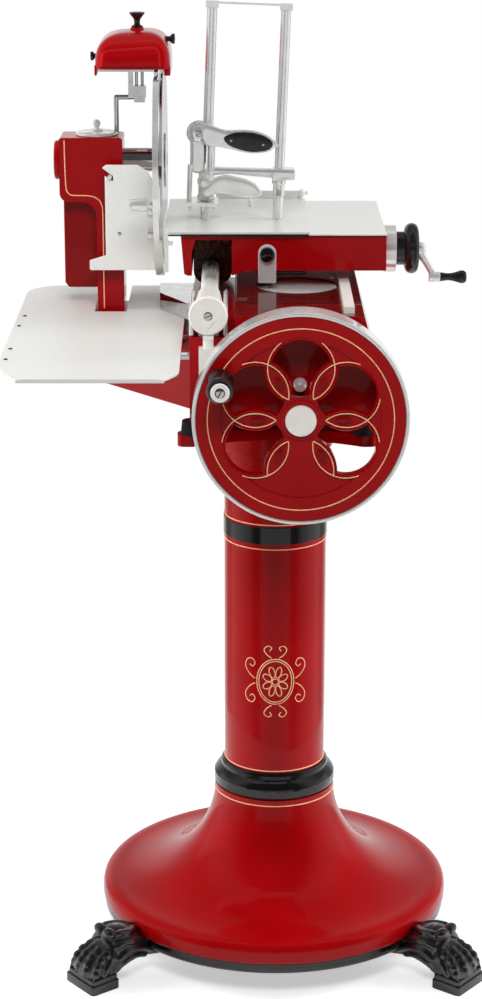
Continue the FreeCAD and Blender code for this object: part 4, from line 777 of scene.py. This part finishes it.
def carriage():
    """The carriage on its rod, the table on it, and the table's feed."""
    slide_rod()
    carriage_body()
    thread = [(0, 0), (4, 0)]
    for rib in range(9):
        thread += [(6.4, 1 + rib * 5), (6.8, 2 + rib * 5), (6.8, 4 + rib * 5), (6.2, 5 + rib * 5)]
    thread += [(4, 47), (0, 47)]
    piece("travel_screw", turned(thread, at(1, 60, 1090), X, 24), PHENOLIC, BODY_OF["carriage_body"])
    kept(DARK, "carriage_bushes")
    softened("carriage_deck", STEEL, 0.6)
    kept(STEEL, "guide_roller")
    softened("meat_table", STEEL, 0.7)
    # A dark strip under the table's front edge: painted shadow of the gap between table and carriage.
    gap_shadow_strip = slab([(-172, 1155), (50, 1155), (50, 1157.1), (-172, 1157.1)], 7.5, 11.4, 0.4, 2)
    piece("table_gap_shadow", gap_shadow_strip, DARK, BODY_OF["meat_table"])
    kept(DARK, "feed_screw")
    softened("scale_drum", NICKEL, 1.0)
    dial = [(7, 0), (25.5, 0), (26.3, 0.8), (26.3, 13), (30, 13.6), (35, 15.4), (38.2, 18.6), (39.5, 22),
            (39.8, 25.5), (39.2, 29), (37.4, 32.2), (34, 34.6), (29, 35.6), (20, 35.2), (12, 34.4), (7, 34.4),
            (7, 0)]
    remade("dial_wheel", "turned", turned(dial, at(190.3, FEED_Y, FEED_Z), X, 64), PHENOLIC)
    feed_crank()
    softened("latch_plate", NICKEL, 0.8)
    knob = [(0, -3.5), (4.9, -3.5), (4.9, 0), (9, 0), (11.4, 1.6), (12, 4.5), (11, 8), (8, 10.4), (3, 11.4),
            (0, 11.5)]
    remade("latch_knob", "turned", turned(knob, at(-14, 14.7, 1125), -Y, 40), BLACK)


carriage()


# ---------------------------------------------------------------- press

LEAN = spoke(90 - 2.2)[0]       # the posts lean to the right by 2.2 degrees
POST_Y = 134
HEAD_X, HEAD_Z = -121, 1297     # the lever's boss


def press_body():
    """The clamp that slides on the posts: sleeve, round head, rib, beam, block and collar."""
    sleeve = turned([(8.1, 0), (13, 0), (14, 1.2), (14, 6), (12.6, 7.5), (12.6, 88), (14, 90), (14, 98),
                     (12.6, 100), (8.1, 100)], at(-110.6, POST_Y, 1191), LEAN, 48)
    head = turned([(0, -12), (16, -12), (18.6, -9), (19.6, 0), (18.8, 6), (16, 10), (12.6, 11.4), (12, 13.4),
                   (9, 14.6), (5, 15), (0, 15.1)], at(HEAD_X, POST_Y, HEAD_Z), -Y, 56)
    swell = smoothed([(-133, 1292), (-118, 1300), (-103, 1292), (-97.6, 1276), (-97.4, 1250), (-97.8, 1236),
                      (-112, 1233), (-133, 1237), (-134.6, 1262)], 3)
    rib = slab(swell, POST_Y - 11, POST_Y + 11, 6, 4)
    beam = slab([(-104, 1243), (-60, 1241.5), (-4, 1240), (-4, 1226), (-40, 1229), (-70, 1232.5),
                 (-104, 1230)], POST_Y - 9, POST_Y + 9, 3.5, 3)
    block = slab([(-6, 1241.5), (31, 1240), (31, 1223.5), (-6, 1222)], POST_Y - 14, POST_Y + 14, 3, 3)
    collar = turned([(8.1, 0), (9.6, 0), (10.2, 1), (9.2, 4), (9.2, 18), (11, 20), (11, 25), (8.1, 25)],
                    at(4.6, POST_Y, 1197), LEAN, 40)
    remade("press_body", "forged", joined(sleeve, head, rib, beam, block, collar), POST, 40)
    slot = slab([(-112.6, 1280), (-108.6, 1283), (-108.4, 1252), (-112.2, 1249)], 121.6, 124, 0.6, 2)
    piece("press_body_slot", slot, DARK, BODY_OF["press_body"])
    slotted_screw("press_screw", BODY_OF["press_body"], at(HEAD_X, POST_Y - 15, HEAD_Z), -Y, 4.6, 1.4, 35)


def press_lever():
    """A forged tang that swells round two black scales, each held by rivets."""
    tang = smoothed([
        (-109.7, 1313), (-96.2, 1309.8), (-85.4, 1306), (-74.6, 1304), (-55.7, 1304.6), (-42.3, 1304.2),
        (-28.8, 1302.1), (-15.3, 1297), (-4.4, 1289.6), (3, 1281), (-3.7, 1275.6), (-8.4, 1271.4),
        (-20.6, 1268.6), (-35.5, 1267.6), (-50.3, 1269.4), (-69.3, 1274), (-82.8, 1276.5), (-93.6, 1278.1),
        (-104.4, 1278.8), (-114, 1286), (-117, 1302),
    ], 3)
    remade("press_lever", "forged", slab(tang, 108, 117, 3.4, 4), POST)
    scale = smoothed([
        (-81.4, 1292), (-74.6, 1297.3), (-63.8, 1300.4), (-53.1, 1301.3), (-35.5, 1300.2), (-20.7, 1296.2),
        (-9.9, 1290), (-4.6, 1283.2), (-8.5, 1276), (-20.6, 1271.8), (-35.5, 1270.8), (-49, 1272.4),
        (-66.5, 1277.7), (-77.3, 1284.5),
    ], 4)
    scales = joined(slab(scale, 104.5, 108.2, 2.4, 4), slab(scale, 116.8, 119.6, 2.0, 4))
    piece("lever_scales", scales, PHENOLIC, BODY_OF["lever_grips"], ["lever_grips"])
    rivets = [turned([(0, 0), (2.4, 0), (2.2, 0.7), (1.2, 1.3), (0, 1.5)], at(x, 104.7, z), -Y, 20)
              for x, z in ((-69.9, 1289.1), (-19.7, 1282.6))]
    piece("scale_rivets", joined(*rivets), CHROME, BODY_OF["lever_grips"])


def leaf_lever():
    """A bean of pale steel on a round boss, with a ribbed pin under its tip."""
    bean = smoothed([
        (-114, 1214), (-105.9, 1219.6), (-96.4, 1229.1), (-85.6, 1232.9), (-74.7, 1233.6), (-62.5, 1231.1),
        (-47.6, 1227.7), (-35.4, 1222.3), (-27.3, 1215.5), (-22.5, 1206.6), (-25.2, 1200.5), (-34, 1197.7),
        (-50.3, 1198.4), (-69.3, 1201.1), (-85.6, 1204.5), (-96.5, 1203.9), (-106, 1200), (-115, 1202),
    ], 3)
    boss = turned([(0, 0), (9, 0), (10.5, 2), (10.5, 10), (9, 14), (5, 16.5), (0, 17.3)],
                  at(-113, 117, 1224), -Y, 32)
    pin = turned([(0, 0), (4, 0), (4, 2), (3.4, 3), (4, 4), (4, 6), (3.4, 7), (4, 8), (4, 14), (0, 14)],
                 at(-39.5, 108, 1184), Z, 24)
    remade("leaf_lever", "forged", joined(slab(bean, 101, 115, 4.5, 4), boss, pin), NICKEL)


def press():
    """The meat press: two posts with a crossbar, the clamp, its levers and its toothed foot."""
    softened("press_frame", POST, 1.0)
    press_body()
    softened("press_foot", NICKEL, 0.8)
    press_lever()
    leaf_lever()


press()


# ---------------------------------------------------------------- tray

def tray():
    """The slice tray: a brushed sheet with four rivets along its left edge."""
    sheet_metal = copied("slice_tray")
    # The outline's slanted corners are rounded, and its square ones stay sharp.
    corners = [e for e in sheet_metal.edges if abs(e.verts[0].co.z - e.verts[1].co.z) > 2.5 * MM
               and math.radians(22) < e.calc_face_angle(0) < math.radians(80)]
    bevelled(sheet_metal, corners, 14, 5)
    rounded(remade("slice_tray", "cut", sheet_metal, TRAY), 0.8)
    rivets = [turned([(0, 0), (3.4, 0), (3, 1), (1.6, 1.6), (0, 1.8)], at(x, y, 1012.8), Z, 20)
              for x, y in ((-398, 83), (-401, 10), (-400, -148), (-401, -216))]
    piece("tray_rivets", joined(*rivets), DARK, BODY_OF["slice_tray"])


tray()


# ---------------------------------------------------------------- paws

# Each section: distance from the column's axis, half width, underside and crest of the leg.
PAW_SECTIONS = (
    (236, 27, 17, 46), (258, 28, 21, 53), (278, 30, 24, 66), (296, 32, 23, 80), (312, 34, 19, 88),
    (328, 35, 13, 90), (340, 33, 9, 85), (350, 31, 7, 71), (360, 32, 7, 62), (374, 33, 7, 53),
    (384, 32, 8, 42),
)
PLINTH_TIP = 393.8      # the plinth's outer side, from the column's axis
PLINTH_WIDE = 75
PAW_TURNS = (90, 218, 322)


def paw_size(x):
    """Half width, underside and crest of the leg at a distance from the column's axis."""
    for first, last in zip(PAW_SECTIONS, PAW_SECTIONS[1:]):
        if x <= last[0]:
            share = (x - first[0]) / (last[0] - first[0])
            return [p + (q - p) * share for p, q in zip(first[1:], last[1:])]
    return list(PAW_SECTIONS[-1][1:])


def strand(mesh, path, side, sink):
    """A tendon or fold of (distance, height, radius) points that lies on the leg's side."""
    for x, z, radius in smoothed(path, 5, False):
        half, low, high = paw_size(x)
        rise = min(0.97, abs((z - (low + high) / 2) / ((high - low) / 2)))
        out = half * math.sqrt(1 - rise * rise)
        ball(mesh, (x, side * (out - radius * sink), z), (radius * 1.3, radius, radius), detail=10)


def leg_side(mesh, side):
    """Tendons down one side of the leg, the knee cap, and the ankle's folds under it."""
    for path, sink in (
        (((272, 60, 4), (290, 76, 5), (310, 80, 5.5), (328, 82, 6), (340, 79, 6)), 0.2),
        (((268, 52, 4), (288, 64, 5), (308, 68, 5.5), (326, 70, 5.5), (338, 66, 5)), 0.1),
        (((270, 40, 3.5), (292, 52, 4.5), (312, 56, 4.5), (326, 54, 4.5), (337, 46, 4.5)), 0.1),
        (((284, 34, 4), (300, 41, 5), (316, 42, 5), (328, 37, 4.5), (336, 30, 4)), 0.15),
        (((343, 84, 6), (345, 74, 7), (343, 64, 6)), 0.5),
        (((346, 60, 4.5), (348, 52, 5.5), (345, 44, 4)), 0.1),
        (((349, 54, 3.5), (356, 42, 4), (362, 30, 3.5), (367, 24, 3)), -0.1),
        (((336, 26, 4), (346, 22, 5), (356, 24, 4)), 0.3),
    ):
        strand(mesh, path, side, sink)
    ball(mesh, (343, side * 12, 84), (9, 13, 9), detail=14)


def toe(mesh, across, out):
    """Knuckle, joint and pad of a toe, then its claw down to the plinth."""
    splay = across * 0.12
    ball(mesh, (360 + out, across * 0.86, 55), (10, 8.5, 9.5), 25, 14)
    ball(mesh, (372 + out, across * 0.95, 50), (9.5, 8.6, 9), 15, 14)
    ball(mesh, (381 + out, across + splay * 0.5, 40), (8.5, 8.2, 9.5), 0, 14)
    ball(mesh, (386 + out, across + splay, 31), (7, 7.4, 8.5), 0, 14)
    for bit in range(7):
        place = (388.5 + out + bit * 0.75, across + splay * (1 + bit * 0.15), 33 - bit * 1.7)
        ball(mesh, place, (3.6 - bit * 0.3,) * 3, 0, 10)


def plinth_step(wide, low, high):
    """One step of the square plinth, with its upright corners and its top edge rounded."""
    step = bmesh.new()
    bmesh.ops.create_cube(step, size=1)
    for vert in step.verts:
        x = PLINTH_TIP - (PLINTH_WIDE - wide) / 2 + (vert.co.x - 0.5) * wide * 0.70
        vert.co = Vector((x, vert.co.y * wide, low + (vert.co.z + 0.5) * (high - low))) * MM
    bevelled(step, [e for e in step.edges if abs(e.verts[0].co.z - e.verts[1].co.z) > 1 * MM], 5, 3)
    bevelled(step, [e for e in step.edges if min(v.co.z for v in e.verts) > (high - 0.1) * MM], 1.6, 2)
    return step


def paw():
    """A lion's paw that reaches out along +X: leg, tendons, knuckled toes and claws."""
    mesh = bmesh.new()
    for x in range(238, 385, 4):
        half, low, high = paw_size(x)
        ball(mesh, (x, 0, (low + high) / 2), (9, half, (high - low) / 2), detail=20)
    # The heel stands on the plinth as a block with upright sides.
    ball(mesh, (352, 0, 26), (22, 33, 26), detail=20)
    for side in (-1, 1):
        leg_side(mesh, side)
    for across, out in ((-26, -5), (-9, 0), (9, 0), (26, -5)):
        toe(mesh, across, out)
    lumps = bpy.data.objects.new("paw", poured("paw", mesh))
    melt = lumps.modifiers.new("melt", "REMESH")
    melt.mode = "VOXEL"
    melt.voxel_size = 1.5 * MM
    leg = settled(lumps)
    for again in range(2):
        bmesh.ops.smooth_vert(leg, verts=leg.verts, factor=0.5,
                              use_axis_x=True, use_axis_y=True, use_axis_z=True)
    # What would stand under the plinth is cut away.
    trimmed(leg, (0, 0, 6 * MM), (0, 0, -1))
    return joined(leg, plinth_step(PLINTH_WIDE, 0, 15), plinth_step(PLINTH_WIDE - 6, 14, 23))


def paws():
    """Three paws round the disc: one at the back, two spread to the sides of the front."""
    feet = []
    first = paw()
    for degrees in PAW_TURNS:
        foot = first.copy()
        foot.transform(Matrix.Translation(COLUMN * MM) @ Matrix.Rotation(math.radians(degrees), 4, "Z"))
        feet.append(foot)
    first.free()
    remade("lion_paws", "cast", joined(*feet), CASTING, 50)


paws()


# ---------------------------------------------------------------- stage

# Brightness of the room by degrees off the front: under eye level, and over it.
ROOM_LOW = ((0, 0.68), (22, 0.7), (31, 0.75), (36, 0.08), (48, 0.08), (60, 0.6), (84, 0.9), (112, 1.0),
            (124, 0.3), (140, 0.3), (152, 1.0))
ROOM_HIGH = ((0, 0.08), (55, 0.08), (78, 0.7), (120, 1.0), (128, 0.45), (140, 0.45), (155, 1.0))
DIM_GREY = (0.3, 0.3, 0.3, 1)
WHITE = (1, 1, 1, 1)
SOFTBOXES = (
    # name, place, aim, width, height, watts
    ("left_softbox", (-2.3, 0.10, 1.3), (0, 0, 0.8), 0.7, 2.6, 58),
    ("right_softbox", (2.3, 0.10, 1.3), (0, 0, 0.8), 0.7, 2.6, 58),
    ("front_softbox", (0, -2.4, 3.0), (0, 0, 1.1), 1.6, 1.0, 60),
    ("top_softbox", (0, 0.3, 3.6), (0, 0, 0.6), 1.8, 1.8, 20),
)


def room_walls(tree):
    """The room's colour by direction: tall dark flats, a white sweep, and a dim front above."""
    ray = add(tree, "ShaderNodeSeparateXYZ", {"Vector": add(tree, "ShaderNodeTexCoord").outputs["Generated"]})
    across, back, up = ray.outputs
    ahead = add(tree, "ShaderNodeMath", {0: back, 1: -1.0}, operation="MULTIPLY").outputs[0]
    around = add(tree, "ShaderNodeMath", {0: across, 1: ahead}, operation="ARCTAN2").outputs[0]
    off = add(tree, "ShaderNodeMath", {0: around}, operation="ABSOLUTE").outputs[0]
    share = add(tree, "ShaderNodeMath", {0: off, 1: math.pi}, operation="DIVIDE").outputs[0]
    bands = []
    for stops in (ROOM_LOW, ROOM_HIGH):
        greys = [(degrees / 180, (grey, grey, grey, 1)) for degrees, grey in stops]
        bands.append(add(tree, "ShaderNodeValToRGB", {"Fac": share}, greys).outputs["Color"])
    above = add(tree, "ShaderNodeMapRange", {"Value": up, "From Min": -0.04, "From Max": 0.04}).outputs[0]
    walls = add(tree, "ShaderNodeMixRGB", {0: above, 1: bands[0], 2: bands[1]}).outputs[0]
    # Over the sweep's top edge the room behind is dim again, up to the ceiling light.
    steep = add(tree, "ShaderNodeMapRange", {"Value": up, "From Min": 0.34, "From Max": 0.48}).outputs[0]
    behind = add(tree, "ShaderNodeMapRange", {"Value": back, "From Min": -0.1, "From Max": 0.3}).outputs[0]
    over = add(tree, "ShaderNodeMath", {0: steep, 1: behind}, operation="MULTIPLY").outputs[0]
    return add(tree, "ShaderNodeMixRGB", {0: over, 1: walls, 2: DIM_GREY}).outputs[0]


def studio():
    """The room that gloss shows; the lens sees it white."""
    world = bpy.data.worlds.new("studio")
    bpy.context.scene.world = world
    world.use_nodes = True
    tree = world.node_tree
    tree.nodes.clear()
    room = add(tree, "ShaderNodeBackground", {"Color": room_walls(tree), "Strength": 0.8}).outputs[0]
    white = add(tree, "ShaderNodeBackground", {"Color": WHITE, "Strength": 1.0}).outputs[0]
    path = add(tree, "ShaderNodeLightPath").outputs
    seen = add(tree, "ShaderNodeMixShader", {0: path["Is Camera Ray"], 1: room, 2: white}).outputs[0]
    add(tree, "ShaderNodeOutputWorld", {"Surface": seen})


def floor():
    """A round matt floor, which the lens sees lighter by its glow."""
    mesh = bmesh.new()
    bmesh.ops.create_circle(mesh, cap_ends=True, segments=96, radius=0.95)
    ground = bpy.data.objects.new("floor", poured("floor", mesh))
    bpy.context.scene.collection.objects.link(ground)
    paper = bpy.data.materials.new("floor")
    paper.use_nodes = True
    tree = paper.node_tree
    tree.nodes.clear()
    matt = add(tree, "ShaderNodeBsdfDiffuse", {"Color": (0.8, 0.8, 0.8, 1)}).outputs[0]
    light = add(tree, "ShaderNodeEmission", {"Color": WHITE, "Strength": 0.5}).outputs[0]
    lit = add(tree, "ShaderNodeAddShader", {0: matt, 1: light}).outputs[0]
    path = add(tree, "ShaderNodeLightPath").outputs
    shown = add(tree, "ShaderNodeMixShader", {0: path["Is Camera Ray"], 1: matt, 2: lit}).outputs[0]
    add(tree, "ShaderNodeOutputMaterial", {"Surface": shown})
    ground.data.materials.append(paper)


def softbox(name, place, aim, wide, tall, power):
    """A lamp that lights the object and shows neither itself nor its reflection."""
    lamp = bpy.data.lights.new(name, "AREA")
    lamp.shape = "RECTANGLE"
    lamp.size = wide
    lamp.size_y = tall
    lamp.energy = power
    box = bpy.data.objects.new(name, lamp)
    box.location = place
    box.rotation_euler = (Vector(aim) - Vector(place)).to_track_quat("-Z", "Y").to_euler()
    box.visible_camera = False
    box.visible_glossy = False
    bpy.context.scene.collection.objects.link(box)


def camera():
    """The lens looks down by 16.6 degrees from 3.7 m in front."""
    lens = bpy.data.cameras.new("camera")
    lens.sensor_fit = "VERTICAL"
    lens.sensor_height = 36
    lens.lens = 87.53
    seat = bpy.data.objects.new("camera", lens)
    seat.location = at(-54.6, -3700, 1836.5)
    seat.rotation_euler = (math.radians(90 - 16.6), 0, 0)
    bpy.context.scene.collection.objects.link(seat)
    bpy.context.scene.camera = seat


studio()
floor()
for facts in SOFTBOXES:
    softbox(*facts)
camera()
bpy.context.scene.view_settings.view_transform = "Standard"
